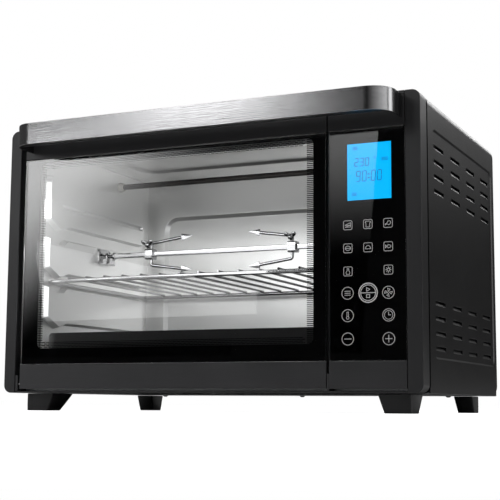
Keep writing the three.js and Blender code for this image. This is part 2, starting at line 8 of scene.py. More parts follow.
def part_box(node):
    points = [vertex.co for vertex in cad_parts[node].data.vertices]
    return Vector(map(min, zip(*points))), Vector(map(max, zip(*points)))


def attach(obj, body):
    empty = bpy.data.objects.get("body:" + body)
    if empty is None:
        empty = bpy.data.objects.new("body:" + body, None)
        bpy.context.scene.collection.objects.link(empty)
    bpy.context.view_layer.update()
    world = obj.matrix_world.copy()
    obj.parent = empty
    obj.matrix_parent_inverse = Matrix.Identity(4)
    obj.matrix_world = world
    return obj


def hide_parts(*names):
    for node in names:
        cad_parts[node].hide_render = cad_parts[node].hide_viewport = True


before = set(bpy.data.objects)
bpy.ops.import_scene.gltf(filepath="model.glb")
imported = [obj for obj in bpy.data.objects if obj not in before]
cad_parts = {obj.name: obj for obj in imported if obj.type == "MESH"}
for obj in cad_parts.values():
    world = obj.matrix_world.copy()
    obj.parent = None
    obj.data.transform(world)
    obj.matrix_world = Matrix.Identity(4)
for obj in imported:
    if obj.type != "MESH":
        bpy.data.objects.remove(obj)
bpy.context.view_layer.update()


# ---------------------------------------------------------------- camera, floor and studio light
# The oven stands on a white sweep and is seen from just above its own table, a little from the
# right. Big soft lamps light it, and white cards stand where its glossy faces mirror them.

camera_spot = (0.58254, -1.27966, 0.007)
camera_turn, camera_tilt, camera_roll = (math.radians(angle) for angle in (24.669, 7.488, 0.372))
camera = bpy.data.objects.new("camera", bpy.data.cameras.new("camera"))
camera.data.lens = 85.3
camera.data.sensor_width = 36
camera.matrix_world = (
    Matrix.Translation(camera_spot)
    @ Matrix.Rotation(camera_turn, 4, "Z")
    @ Matrix.Rotation(math.pi / 2 + camera_tilt, 4, "X")
    @ Matrix.Rotation(camera_roll, 4, "Z")
)
scene = bpy.context.scene
scene.collection.objects.link(camera)
scene.camera = camera
scene.view_settings.view_transform = "Standard"


def feed(tree, socket, value):
    """Sets a socket to a plain value, or links another node's output to it."""
    if isinstance(value, bpy.types.NodeSocket):
        tree.links.new(value, socket)
    else:
        socket.default_value = value


def node(tree, kind, sources=None, **settings):
    """A shader node with its settings, its sockets fed by name or by number."""
    made = tree.nodes.new("ShaderNode" + kind)
    for setting, value in settings.items():
        setattr(made, setting, value)
    for socket, value in (sources or {}).items():
        feed(tree, made.inputs[socket], value)
    return made


def new_material(name):
    """A material, its node tree and its shader."""
    made = bpy.data.materials.new(name)
    made.use_nodes = True
    return made, made.node_tree, made.node_tree.nodes["Principled BSDF"]


def glowing(name, strength, fade_from=None, fade_to=None):
    """A plain white emitter for the studio, evenly bright or fading from one point to another."""
    made, tree, _ = new_material(name)
    tree.nodes.clear()
    emission = node(tree, "Emission", {"Strength": strength})
    node(tree, "OutputMaterial", {"Surface": emission.outputs[0]})
    if fade_from is not None:
        run = fade_to - fade_from
        place = node(tree, "TexCoord").outputs["Object"]
        offset = node(tree, "VectorMath", {0: place, 1: fade_from}, operation="SUBTRACT")
        along = node(tree, "VectorMath", {0: offset.outputs["Vector"], 1: run / run.length_squared},
                     operation="DOT_PRODUCT")
        falloff = node(tree, "MapRange", {"Value": along.outputs["Value"], "To Min": strength, "To Max": 0},
                       interpolation_type="SMOOTHERSTEP")
        feed(tree, emission.inputs["Strength"], falloff.outputs["Result"])
    return made


def flat_sheet(name, corners, material):
    """A four-cornered sheet of the studio, such as the floor or a card."""
    shape = bmesh.new()
    shape.faces.new([shape.verts.new(corner) for corner in corners])
    mesh = bpy.data.meshes.new(name)
    shape.to_mesh(mesh)
    shape.free()
    mesh.materials.append(material)
    sheet = bpy.data.objects.new(name, mesh)
    scene.collection.objects.link(sheet)
    return sheet


# The floor is a light table: it glows a little by itself, and is clear when seen from below.
floor_white, floor_tree, floor_shader = new_material("floor_white")
floor_shader.inputs["Base Color"].default_value = (0.5, 0.5, 0.5, 1)
floor_shader.inputs["Roughness"].default_value = 0.9
floor_shader.inputs["Specular IOR Level"].default_value = 0.0
floor_shader.inputs["Emission Color"].default_value = (1, 1, 1, 1)
floor_ray = node(floor_tree, "LightPath").outputs["Is Camera Ray"]
floor_glow = node(floor_tree, "Math", {0: floor_ray, 1: 0.96}, operation="MULTIPLY")
feed(floor_tree, floor_shader.inputs["Emission Strength"], floor_glow.outputs[0])
floor_under = node(floor_tree, "NewGeometry").outputs["Backfacing"]
floor_clear = node(floor_tree, "BsdfTransparent")
floor_mix = node(floor_tree, "MixShader",
                 {0: floor_under, 1: floor_shader.outputs[0], 2: floor_clear.outputs[0]})
feed(floor_tree, floor_tree.nodes["Material Output"].inputs["Surface"], floor_mix.outputs[0])
floor_half = 40
flat_sheet("floor", [(-floor_half, -floor_half, 0), (floor_half, -floor_half, 0),
                     (floor_half, floor_half, 0), (-floor_half, floor_half, 0)], floor_white)

room = bpy.data.worlds.new("studio_room")
room.use_nodes = True
room_tree = room.node_tree
room_light = room_tree.nodes["Background"]
room_light.inputs["Color"].default_value = (1, 1, 1, 1)
room_light.inputs["Strength"].default_value = 0.1
backdrop = node(room_tree, "Background", {"Color": (1, 1, 1, 1), "Strength": 1.0})
room_ray = node(room_tree, "LightPath").outputs["Is Camera Ray"]
room_mix = node(room_tree, "MixShader", {0: room_ray, 1: room_light.outputs[0], 2: backdrop.outputs[0]})
feed(room_tree, room_tree.nodes["World Output"].inputs["Surface"], room_mix.outputs[0])
scene.world = room


def softbox(name, place, aim, size, power):
    """A rectangular soft lamp at a place, turned to face a point."""
    lamp = bpy.data.lights.new(name, "AREA")
    lamp.shape = "RECTANGLE"
    lamp.size, lamp.size_y = size
    lamp.energy = power
    stand = bpy.data.objects.new(name, lamp)
    stand.location = place
    stand.rotation_euler = (Vector(aim) - Vector(place)).to_track_quat("-Z", "Y").to_euler()
    stand.visible_camera = False
    scene.collection.objects.link(stand)
    return stand


softbox("overhead_softbox", (-0.2, -0.3, 2.0), (0, 0, 0.2), (2.4, 1.6), 40)
front_box = softbox("front_softbox", (-1.3, -2.2, 1.1), (-0.05, 0, 0.15), (1.2, 1.2), 26)
front_box.visible_glossy = False
softbox("right_softbox", (2.0, 0.5, 1.7), (0.25, 0, 0.25), (1.0, 1.4), 6)

front_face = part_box("door_glass")[0].y
right_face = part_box("outer_shell")[1].x


def mirrored(along, up, reach, face="front"):
    """The point, a reach in metres away, that the camera sees mirrored in the front or right face."""
    if face == "front":
        spot = Vector((along / 1000, front_face, up / 1000))
    else:
        spot = Vector((right_face, front_face + along / 1000, up / 1000))
    ray = spot - camera.location
    turned_axis = 1 if face == "front" else 0
    ray[turned_axis] = -ray[turned_axis]
    return spot + ray.normalized() * reach


def hang(name, points, material):
    """Puts up a card that shows only in the faces that mirror it."""
    sheet = flat_sheet(name, points, material)
    sheet.visible_camera = False
    sheet.visible_diffuse = False
    sheet.visible_shadow = False


def card(name, corners, strength, reach, fade=None, face="front"):
    """A card, white or dark, that a face mirrors between four (along, up) points in millimetres."""
    points = [mirrored(along, up, reach, face) for along, up in corners]
    ends = [mirrored(along, up, reach, face) for along, up in fade] if fade else [None, None]
    hang(name, points, glowing(name + "_white", strength, *ends))


def span(along, up):
    """The four corners between two limits along a face and two limits up it."""
    return [(along[0], up[0]), (along[1], up[0]), (along[1], up[1]), (along[0], up[1])]


card("black_flag", span((-400, 260), (-60, 293)), 0.012, 2.4)
card("handle_card_left", span((-215, 0), (296, 560)), 4.6, 1.2, [(-10, 400), (-175, 400)])
card("handle_card_right", span((0, 230), (296, 560)), 4.6, 1.2, [(45, 400), (205, 400)])
card("left_card", span((-420, -236), (-60, 285)), 0.8, 2.3)
card("door_card", span((-250, 40), (60, 294)), 6.0, 1.3, [(-230, 290), (-103, 163)])
card("panel_card", [(150, 60), (186, 60), (206, 294), (150, 294)], 1.5, 1.1, [(150, 330), (150, 150)])
card("side_flag", span((-200, 560), (-260, 170)), 0.0, 1.7, face="right")
card("side_card", span((-30, 420), (170, 520)), 0.7, 1.5, [(200, 420), (200, 170)], face="right")

# One more card curves the light round the right bend of the handle.
bend_left, bend_right = Vector((-0.03, -1.96, 0)), Vector((2.05, 0, 0))
bend_low, bend_high = Vector((0, 0, 0.5)), Vector((0, 0, 1))
hang("bend_card",
     [bend_left + bend_low, bend_right + bend_low, bend_right + bend_high, bend_left + bend_high],
     glowing("bend_card_white", 1.5, bend_right, bend_left))
softbox("edge_strip", (1.74, 0.5, 0.45), (0.24, -0.02, 0.25), (0.6, 1.4), 6)
softbox("louvre_softbox", (0.40, 1.6, 1.0), (0.25, 0.0, 0.2), (0.5, 0.4), 2.5)


# ---------------------------------------------------------------- outer shell
# One sheet of black-painted steel, bent over the top and down both sides. Each side has a panel
# pressed in by a little over a millimetre, with eight rows of cooling louvres.


def measured(part):
    """A CAD piece's limits in millimetres: across, back from the front face, and up."""
    low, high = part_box(part)
    low.y -= front_face
    high.y -= front_face
    return tuple((low[axis] * 1000, high[axis] * 1000) for axis in range(3))


PLANES = {"x": (1, 2, 0), "d": (0, 2, 1), "z": (0, 1, 2)}


def rounded_face(shape, through, u, v, level, corner=0.0, rounded=(0, 1, 2, 3), steps=6):
    """A flat face square to one axis, some of its corners rounded. They count from low u, low v."""
    across, along, depth = PLANES[through]
    known = set(shape.faces)
    corners = []
    for place_u, place_v in ((u[0], v[0]), (u[1], v[0]), (u[1], v[1]), (u[0], v[1])):
        spot = [0.0, 0.0, 0.0]
        spot[across], spot[along], spot[depth] = place_u, place_v, level
        corners.append(shape.verts.new(spot))
    shape.faces.new(corners)
    if corner:
        bmesh.ops.bevel(shape, geom=[corners[i] for i in rounded], offset=corner, segments=steps,
                        profile=0.5, affect="VERTICES", material=-1)
    return [face for face in shape.faces if face not in known][0]


def outline(shape, *place, **form):
    """The edges of a rounded face, without the face."""
    face = rounded_face(shape, *place, **form)
    edges = list(face.edges)
    bmesh.ops.delete(shape, geom=[face], context="FACES_ONLY")
    return edges


def fill(shape, edges):
    """Fills the flat region that these edges bound, leaving open any outline inside it."""
    bmesh.ops.triangle_fill(shape, use_beauty=True, use_dissolve=False, edges=edges)


def block(shape, x, d, z, corner=0.0, through="d", rounded=(0, 1, 2, 3), steps=6):
    """A solid bar between three pairs of limits, its outline rounded in one plane."""
    spans = (x, d, z)
    across, along, depth = PLANES[through]
    face = rounded_face(shape, through, spans[across], spans[along], spans[depth][0], corner, rounded, steps)
    known = set(shape.verts)
    bmesh.ops.extrude_face_region(shape, geom=[face])
    raised = [vert for vert in shape.verts if vert not in known]
    push = Vector((0, 0, 0))
    push[depth] = spans[depth][1] - spans[depth][0]
    bmesh.ops.translate(shape, verts=raised, vec=push)
    return raised


def make_piece(name, shape, material, body="cabinet", slot=None, stands_for=None,
               wall=0.0, edge=0.0, edge_steps=2, tidy=True, crease=35, is_sheet=False):
    """Puts a shape drawn in millimetres in its place and gives it its wall, edges and finish.

    Its slot is not used. It stands for the CAD piece of its own name, unless told.
    """
    slot = slot or material.name.split(".")[0]
    if stands_for is None:
        stands_for = [name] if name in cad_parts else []
    if tidy:
        bmesh.ops.remove_doubles(shape, verts=shape.verts, dist=0.002)
        bmesh.ops.recalc_face_normals(shape, faces=shape.faces)
    bmesh.ops.scale(shape, verts=shape.verts, vec=(0.001, 0.001, 0.001))
    bmesh.ops.translate(shape, verts=shape.verts, vec=(0, front_face, 0))
    for line in shape.edges:
        line.smooth = len(line.link_faces) == 2 and line.calc_face_angle(0) < math.radians(crease)
    for face in shape.faces:
        square_on = max(abs(part) for part in face.normal) > 0.9999
        face.smooth = not (is_sheet and square_on)
    mesh = bpy.data.meshes.new(name)
    shape.to_mesh(mesh)
    shape.free()
    mesh.materials.append(material)
    piece = bpy.data.objects.new(name, mesh)
    scene.collection.objects.link(piece)
    if wall:
        thicken = piece.modifiers.new("sheet", "SOLIDIFY")
        thicken.thickness = wall / 1000
        thicken.offset = -1
        thicken.use_even_offset = True
    if edge:
        soften = piece.modifiers.new("edges", "BEVEL")
        soften.width = edge / 1000
        soften.segments = edge_steps
        soften.limit_method = "ANGLE"
        soften.angle_limit = math.radians(crease)
        soften.harden_normals = True
    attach(piece, body)
    if stands_for:
        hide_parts(*stands_for)
    return piece


def noise(tree, vector, scale, detail):
    """The value of a noise texture."""
    return node(tree, "TexNoise", {"Vector": vector, "Scale": scale, "Detail": detail}).outputs["Fac"]


def arithmetic(tree, operation, *values):
    """The result of one step of arithmetic on numbers or other nodes' outputs."""
    return node(tree, "Math", dict(enumerate(values)), operation=operation).outputs[0]


def make_grain():
    """Shared finish: fine grain, which may be drawn out into brush lines, over slow mottling."""
    group = bpy.data.node_groups.new("grain", "ShaderNodeTree")
    for name, kind, default in (
            ("Vector", "Vector", None), ("Stretch", "Vector", (1, 1, 1)), ("Fineness", "Float", 900),
            ("Colour", "Color", (0.5, 0.5, 0.5, 1)), ("Colour Spread", "Float", 0.1),
            ("Roughness", "Float", 0.4), ("Roughness Spread", "Float", 0.1), ("Dust", "Float", 0.0)):
        socket = group.interface.new_socket(name=name, in_out="INPUT", socket_type="NodeSocket" + kind)
        if default is not None:
            socket.default_value = default
    for name, kind in (("Colour", "Color"), ("Roughness", "Float"), ("Height", "Float")):
        group.interface.new_socket(name=name, in_out="OUTPUT", socket_type="NodeSocket" + kind)
    given = group.nodes.new("NodeGroupInput").outputs
    result = group.nodes.new("NodeGroupOutput").inputs

    drawn_out = node(group, "VectorMath", {0: given["Vector"], 1: given["Stretch"]}, operation="MULTIPLY")
    fine = noise(group, drawn_out.outputs[0], given["Fineness"], 3)
    slow = noise(group, given["Vector"], 18, 4)
    centred = arithmetic(group, "SUBTRACT", arithmetic(group, "ADD", fine, slow), 1.0)
    shade = arithmetic(group, "MULTIPLY_ADD", centred, given["Colour Spread"], 1.0)
    tinted = node(group, "VectorMath", {0: given["Colour"], "Scale": shade}, operation="SCALE")
    rough = arithmetic(group, "MULTIPLY_ADD", centred, given["Roughness Spread"], given["Roughness"])

    facing = node(group, "SeparateXYZ", {0: node(group, "NewGeometry").outputs["Normal"]})
    upward = node(group, "MapRange", {"From Min": 0.4, "Value": facing.outputs["Z"]})
    specks = noise(group, given["Vector"], 260, 6)
    sparse = node(group, "MapRange", {"From Min": 0.45, "From Max": 0.8, "Value": specks})
    settled = arithmetic(group, "MULTIPLY", upward.outputs["Result"], sparse.outputs["Result"])
    dusty = arithmetic(group, "MULTIPLY", settled, given["Dust"])
    dusted = node(group, "Mix", {"Factor": dusty, "A": tinted.outputs[0], "B": (0.35, 0.34, 0.32, 1)},
                  data_type="RGBA")
    duller = arithmetic(group, "MULTIPLY_ADD", dusty, 0.4, rough)
    for name, value in (("Colour", dusted.outputs["Result"]), ("Roughness", duller), ("Height", fine)):
        group.links.new(value, result[name])
    return group


grain = make_grain()


def surface(name, colour, roughness, metallic=0.0, stretch=(1, 1, 1), fineness=900, spread=0.1,
            rough_spread=0.08, bump=0.1, dust=0.0, **sockets):
    """A finish with grain in its colour, gloss and relief; other sockets are set by name."""
    made, tree, shader = new_material(name)
    shader.inputs["Metallic"].default_value = metallic
    for socket, value in sockets.items():
        shader.inputs[socket.replace("_", " ")].default_value = value
    texture = tree.nodes.new("ShaderNodeGroup")
    texture.node_tree = grain
    for socket, value in (
            ("Vector", node(tree, "TexCoord").outputs["Object"]), ("Stretch", stretch),
            ("Fineness", fineness),
            ("Colour", (*colour, 1)), ("Colour Spread", spread), ("Roughness", roughness),
            ("Roughness Spread", rough_spread), ("Dust", dust)):
        feed(tree, texture.inputs[socket], value)
    relief = node(tree, "Bump", {"Strength": bump, "Distance": 0.0003, "Height": texture.outputs["Height"]})
    feed(tree, shader.inputs["Base Color"], texture.outputs["Colour"])
    feed(tree, shader.inputs["Roughness"], texture.outputs["Roughness"])
    feed(tree, shader.inputs["Normal"], relief.outputs["Normal"])
    return made


black_paint = surface("black_paint", (0.007, 0.007, 0.0075), 0.32, fineness=1500, bump=0.22, dust=0.06)

shell_x, shell_d, shell_z = measured("outer_shell")
sheet = 1.2
top_bend = 10
wall_top = shell_z[1] - top_bend - 1
recess_d, recess_z = (47, 310), (55.5, 296.5)
recess_corner, recess_slope = 9.5, 2.2
louvre_length, louvre_height = 38, 4.6
louvre_pitch, louvre_rise = 67.5, 15.7
louvre_front = 56
louvre_tops = (281, 116)
lip_reach, lip_taper = 2.2, 1.5

shell = bmesh.new()
bent = outline(shell, "d", shell_x, (wall_top, shell_z[1]), shell_d[0], corner=top_bend, rounded=(2, 3),
               steps=8)
lowest = [line for line in bent if all(vert.co.z < wall_top + 0.1 for vert in line.verts)]
bmesh.ops.delete(shell, geom=lowest, context="EDGES")
known = set(shell.verts)
bmesh.ops.extrude_edge_only(shell, edges=shell.edges[:])
bmesh.ops.translate(shell, verts=[vert for vert in shell.verts if vert not in known],
                    vec=(0, shell_d[1] - shell_d[0], 0))
lips = bmesh.new()
for side, wall_x in ((-1, shell_x[0]), (1, shell_x[1])):
    floor_x = wall_x - side * sheet
    rim = outline(shell, "x", shell_d, (shell_z[0], wall_top), wall_x)
    brink = outline(shell, "x", recess_d, recess_z, wall_x, corner=recess_corner)
    inset_d = (recess_d[0] + recess_slope, recess_d[1] - recess_slope)
    inset_z = (recess_z[0] + recess_slope, recess_z[1] - recess_slope)
    foot_line = outline(shell, "x", inset_d, inset_z, floor_x, corner=recess_corner - recess_slope)
    fill(shell, rim + brink)
    bmesh.ops.bridge_loops(shell, edges=brink + foot_line)
    slots = []
    for top in louvre_tops:
        for row in range(4):
            for column in range(4):
                front = louvre_front + column * louvre_pitch
                slot_top = top - row * louvre_rise
                slot_bottom = slot_top - louvre_height
                slots += outline(shell, "x", (front, front + louvre_length), (slot_bottom, slot_top), floor_x,
                                 corner=1.2, steps=2)
                lip = rounded_face(lips, "x", (front + 0.6, front + louvre_length - 0.6),
                                   (slot_bottom - 0.2, slot_bottom + 3.4), floor_x)
                for vert in lip.verts:
                    if vert.co.z > slot_bottom:
                        vert.co.x -= side * lip_reach
                        vert.co.y += lip_taper if vert.co.y < front + louvre_length / 2 else -lip_taper
    fill(shell, foot_line + slots)
make_piece("outer_shell", shell, black_paint, wall=sheet, edge=0.25, is_sheet=True)
make_piece("side_louvre_lips", lips, black_paint, wall=0.9, edge=0.2, tidy=False)

# A plain steel baffle stands inside each side, a few millimetres behind the louvres. It closes off
# the view through them, and the dark sheet is painted shade for the dim space behind the louvres.


def in_order(first, second):
    """Two limits, the lower one first."""
    return (min(first, second), max(first, second))


dark_zinc = surface("dark_zinc", (0.06, 0.06, 0.062), 0.5, metallic=0.8, fineness=300, spread=0.3, bump=0.05)
baffle_gap, baffle_rim, baffle_corner = 6, 4, 6
for name, wall_x, inward in (("louvre_baffle_left", shell_x[0], 1), ("louvre_baffle_right", shell_x[1], -1)):
    baffle = bmesh.new()
    baffle_x = wall_x + inward * (sheet + baffle_gap)
    block(baffle, in_order(baffle_x, baffle_x + inward), (shell_d[0] + baffle_rim, shell_d[1] - baffle_rim),
          (shell_z[0] + baffle_rim, wall_top - baffle_rim), corner=baffle_corner, through="x")
    make_piece(name, baffle, dark_zinc, slot="zinc_steel")


# ---------------------------------------------------------------- rear cover and lead gland
# A deep-drawn steel pan closes the back. It has eight cooling slots beside the fan motor and a
# rubber bush where the supply lead comes in. Six screws hold the pan to the shell.

cover_x, cover_d, cover_z = measured("rear_cover")
gland_x, gland_d, gland_z = measured("cord_gland")
gland_centre = (sum(gland_x) / 2, sum(gland_z) / 2)
pan_radius, pan_corner, pan_steps = 8, 11, 5
vent_x, vent_height, vent_pitch, lowest_vent = (165, 215), 5, 20, 110
lead_hole_radius = 8.6


def shrunk(limits, by):
    """Two limits drawn in towards each other."""
    return (limits[0] + by, limits[1] - by)


def round_hole(shape, centre, radius, tilt_axis, segments=32):
    """The edges of a circle round a point, tilted a quarter turn about an axis out of the level."""
    circle = bmesh.ops.create_circle(
        shape, segments=segments, radius=radius,
        matrix=Matrix.Translation(centre) @ Matrix.Rotation(math.pi / 2, 4, tilt_axis))
    return list(dict.fromkeys(line for vert in circle["verts"] for line in vert.link_edges))


pan = bmesh.new()
mouth = outline(pan, "d", cover_x, cover_z, cover_d[0], corner=pan_corner)
previous = outline(pan, "d", cover_x, cover_z, cover_d[1] - pan_radius, corner=pan_corner)
bmesh.ops.bridge_loops(pan, edges=mouth + previous)
for step in range(1, pan_steps + 1):
    turn = step / pan_steps * math.pi / 2
    draw_in = pan_radius * (1 - math.cos(turn))
    level = cover_d[1] - pan_radius + pan_radius * math.sin(turn)
    inner = outline(pan, "d", shrunk(cover_x, draw_in), shrunk(cover_z, draw_in), level,
                    corner=pan_corner - draw_in)
    bmesh.ops.bridge_loops(pan, edges=previous + inner)
    previous = inner
openings = []
for row in range(8):
    vent_low = lowest_vent + row * vent_pitch
    openings += outline(pan, "d", vent_x, (vent_low, vent_low + vent_height), cover_d[1], corner=2.4, steps=4)
openings += round_hole(pan, (gland_centre[0], cover_d[1], gland_centre[1]), lead_hole_radius, "X")
fill(pan, previous + openings)
make_piece("rear_cover", pan, black_paint, wall=sheet, edge=0.2, is_sheet=True)


def turned(shape, profile, centre, axis="x", steps=32):
    """Spins a profile of (along, radius) points about an axis through a centre, as on a lathe."""
    across, along, depth = PLANES[axis]
    verts = []
    for reach, radius in profile:
        spot = [0.0, 0.0, 0.0]
        spot[across], spot[along], spot[depth] = centre[0] + radius, centre[1], reach
        verts.append(shape.verts.new(spot))
    lines = [shape.edges.new(pair) for pair in zip(verts, verts[1:])]
    middle = [0.0, 0.0, 0.0]
    middle[across], middle[along] = centre
    pole = [0.0, 0.0, 0.0]
    pole[depth] = 1.0
    bmesh.ops.spin(shape, geom=verts + lines, cent=middle, axis=pole, dvec=(0, 0, 0), angle=2 * math.pi,
                   steps=steps, use_merge=True, use_normal_flip=False, use_duplicate=False)


rubber = surface("rubber", (0.012, 0.012, 0.012), 0.75, fineness=2200, bump=0.2)
gland = bmesh.new()
gland_bore, gland_neck, gland_radius = 4, 8.2, 12
shoulder = gland_d[0] + 8.3
gland_profile = [(gland_d[0], gland_bore), (gland_d[0], gland_neck), (shoulder, gland_neck),
                 (shoulder, gland_radius)]
ribs = 4
rib_run = (gland_d[1] - shoulder) / ribs
for rib in range(ribs):
    start = shoulder + rib * rib_run
    radius = gland_radius - rib
    gland_profile += [(start + rib_run * 0.6, radius), (start + rib_run * 0.7, radius - 1.4),
                      (start + rib_run, radius - 1.4)]
gland_profile += [(gland_d[1], gland_bore), (gland_d[0], gland_bore)]
turned(gland, gland_profile, gland_centre, axis="d")
make_piece("cord_gland", gland, rubber, crease=50)

zinc = surface("zinc_steel", (0.42, 0.43, 0.44), 0.42, metallic=1, fineness=300, spread=0.25, bump=0.05,
               dust=0.1)


def screw_head(shape, centre, level, axis, direction, radius=3.2):
    """A domed screw head with a round driver recess, standing on a level."""
    rise = radius * 0.6
    profile = [(level, 0), (level, radius), (level + direction * rise * 0.45, radius * 0.93),
               (level + direction * rise * 0.85, radius * 0.66), (level + direction * rise, radius * 0.36),
               (level + direction * rise * 0.35, radius * 0.28), (level + direction * rise * 0.3, 0)]
    turned(shape, profile, centre, axis=axis, steps=16)


rear_screws = bmesh.new()
screw_columns = (cover_x[0] + 22, 0, cover_x[1] - 22)
for across in screw_columns:
    for up in (cover_z[0] + 14, cover_z[1] - 14):
        screw_head(rear_screws, (across, up), cover_d[1] - 1.3, "d", 1, radius=2.6)
make_piece("rear_screws", rear_screws, zinc, crease=50)


# ---------------------------------------------------------------- base plate
# A zinc-plated sheet closes the underside, with two ribs pressed along it and slots that let
# cool air in under the control boards. Screws through it hold the feet.

plate_x, plate_d, plate_z = measured("base_plate")
rib_x, rib_rise, slot_x, slot_pitch, first_slot = (-200, 150), 1.6, (172, 218), 24, 70


def face_to(shape, axis, direction):
    """Makes the faces of an open sheet look mostly one way along an axis."""
    bmesh.ops.recalc_face_normals(shape, faces=shape.faces)
    if sum(face.normal[axis] * face.calc_area() for face in shape.faces) * direction < 0:
        bmesh.ops.reverse_faces(shape, faces=shape.faces)


plate = bmesh.new()
plate_rim = outline(plate, "z", plate_x, plate_d, plate_z[0])
rib_lines = []
for rib_d in ((95, 110), (215, 230)):
    inner = outline(plate, "z", rib_x, rib_d, plate_z[0], corner=7)
    raised = outline(plate, "z", shrunk(rib_x, 2), shrunk(rib_d, 2), plate_z[0] + rib_rise, corner=5)
    bmesh.ops.bridge_loops(plate, edges=inner + raised)
    fill(plate, raised)
    rib_lines += inner
for row in range(8):
    slot_d = first_slot + row * slot_pitch
    rib_lines += outline(plate, "z", slot_x, (slot_d, slot_d + 5), plate_z[0], corner=2.4, steps=4)
fill(plate, plate_rim + rib_lines)
bmesh.ops.remove_doubles(plate, verts=plate.verts, dist=0.002)
face_to(plate, 2, -1)
make_piece("base_plate", plate, zinc, wall=0.8, tidy=False, is_sheet=True)

base_screws = bmesh.new()
for across, back in ((-200, 45), (190, 45), (-196, 290), (196, 290), (0, 45), (0, 300)):
    screw_head(base_screws, (across, back), plate_z[0] + 0.2, "z", -1, radius=3.4)
make_piece("base_screws", base_screws, zinc, crease=50)


# ---------------------------------------------------------------- front frame
# Two hollow black plastic pillars and two thin rails form the rim that the door and the control
# panel sit in. Behind each pillar a flush matte black strip is painted shadow: it stands in for the
# shadow of a gap before the shell, and there is no real gap.

black_plastic = surface("black_plastic", (0.013, 0.013, 0.014), 0.36, fineness=1800, bump=0.15)
frame_corner = 9
shadow_strip_width, shadow_strip_inset = 5, 0.5
# Near-black and without gloss, this strip is painted shadow where each pillar meets the shell.
seam_black = surface("seam_black", (0.002, 0.002, 0.002), 0.7, fineness=900, bump=0.1, Specular_IOR_Level=0)

for side_name, outer_corners in (("left", (0, 3)), ("right", (1, 2))):
    pillar = bmesh.new()
    pillar_x, pillar_d, pillar_z = measured(side_name + "_pillar")
    shadow_strip_x = list(pillar_x)
    shadow_strip_x[0 if side_name == "left" else 1] += shadow_strip_inset if side_name == "left" else -shadow_strip_inset
    shadow_strip_front = pillar_d[1] - shadow_strip_width
    block(pillar, pillar_x, (pillar_d[0], shadow_strip_front), pillar_z, corner=frame_corner, rounded=outer_corners,
          steps=8)
    make_piece(side_name + "_pillar", pillar, black_plastic, edge=0.9, edge_steps=3)
    shadow_strip = bmesh.new()
    block(shadow_strip, shadow_strip_x, (shadow_strip_front, pillar_d[1]), (pillar_z[0], pillar_z[1] - shadow_strip_inset),
          corner=frame_corner - shadow_strip_inset, rounded=outer_corners, steps=8)
    make_piece(side_name + "_pillar_seam", shadow_strip, seam_black, slot="black_plastic")


def plain_bar(name, material, corner=0.0, steps=6, **finish):
    """A piece that fills the limits of its CAD piece, with a finish as for make_piece."""
    bar = bmesh.new()
    block(bar, *measured(name), corner=corner, steps=steps)
    make_piece(name, bar, material, **finish)


for rail_name in ("top_rail", "bottom_rail"):
    plain_bar(rail_name, black_plastic, edge=0.5)


# ---------------------------------------------------------------- feet
# Four moulded plastic feet, screwed up into the base. Their outer faces stand upright and the
# inner ones slope in to the table.

for foot_name, side, end, slope_x, slope_d in (
        ("foot_front_left", -1, -1, 7, 16), ("foot_front_right", 1, -1, 7, 16),
        ("foot_rear_left", -1, 1, 3, 8), ("foot_rear_right", 1, 1, 3, 8)):
    foot = bmesh.new()
    foot_x, foot_d, foot_z = measured(foot_name)
    block(foot, foot_x, foot_d, foot_z, corner=2.2, through="z", steps=3)
    for vert in foot.verts:
        if vert.co.z > foot_z[0] + 1:
            continue
        if vert.co.x * side < sum(foot_x) / 2 * side:
            vert.co.x += side * slope_x
        if vert.co.y * end < sum(foot_d) / 2 * end:
            vert.co.y += end * slope_d
    make_piece(foot_name, foot, black_plastic, edge=0.8)


# ---------------------------------------------------------------- cavity walls
# The cooking space is lined with bright steel sheet. Each side wall has pads pressed towards the
# food, and the level gaps between them guide the rack. The back and top have broad pressed panels.

liner_steel = surface("liner_steel", (0.8, 0.8, 0.795), 0.34, metallic=0.85, stretch=(1, 1, 14), fineness=60,
                      spread=0.06, rough_spread=0.1, bump=0.04)

guide_half_gap = 6.75
guide_heights = (210.4, 153, 94)
guide_floor = ((20, 0), (35, -6.5), (52, -6.5), (59, 0))
guide_roof = ((20, 6.5), (43, -5.5), (53, -3), (60, 0))
pad_rear = 243
pad_top = 277
pad_reach = 8
crease_height = 241


def pad(shape, points, wall_x, inward, reach, corner=2.5, draft=2.8, groove=None):
    """One pad pressed out of a side wall, from its (depth, height) corners, perhaps with a groove."""
    known_verts, known_faces = set(shape.verts), set(shape.faces)
    corners = [shape.verts.new((wall_x, depth, height)) for depth, height in points]
    shape.faces.new(corners)
    bmesh.ops.bevel(shape, geom=corners, offset=corner, segments=3, profile=0.5, affect="VERTICES",
                    clamp_overlap=True, material=-1)
    face = [made for made in shape.faces if made not in known_faces][0]
    base = set(shape.verts) - known_verts
    bmesh.ops.extrude_face_region(shape, geom=[face])
    crown = [vert for vert in shape.verts if vert not in known_verts and vert not in base]
    middle = sum((vert.co for vert in crown), Vector()) / len(crown)
    bmesh.ops.translate(shape, verts=crown, vec=(inward * reach, 0, 0))
    half_d = max(abs(vert.co.y - middle.y) for vert in crown)
    half_z = max(abs(vert.co.z - middle.z) for vert in crown)
    for vert in crown:
        vert.co.y = middle.y + (vert.co.y - middle.y) * (1 - draft / half_d)
        vert.co.z = middle.z + (vert.co.z - middle.z) * (1 - draft / half_z)
    if groove:
        top = [made for made in shape.faces if all(vert in crown for vert in made.verts)]
        brim_lines = list(top[0].edges)
        bmesh.ops.delete(shape, geom=top, context="FACES_ONLY")
        level = wall_x + inward * reach
        groove_d, groove_z = groove
        upper_lines = outline(shape, "x", groove_d, groove_z, level, corner=1.5, steps=3)
        lower_lines = outline(shape, "x", shrunk(groove_d, 2), shrunk(groove_z, 2), level - inward * 3,
                              corner=0.2, steps=3)
        fill(shape, brim_lines + upper_lines)
        bmesh.ops.bridge_loops(shape, edges=upper_lines + lower_lines)
        fill(shape, lower_lines)


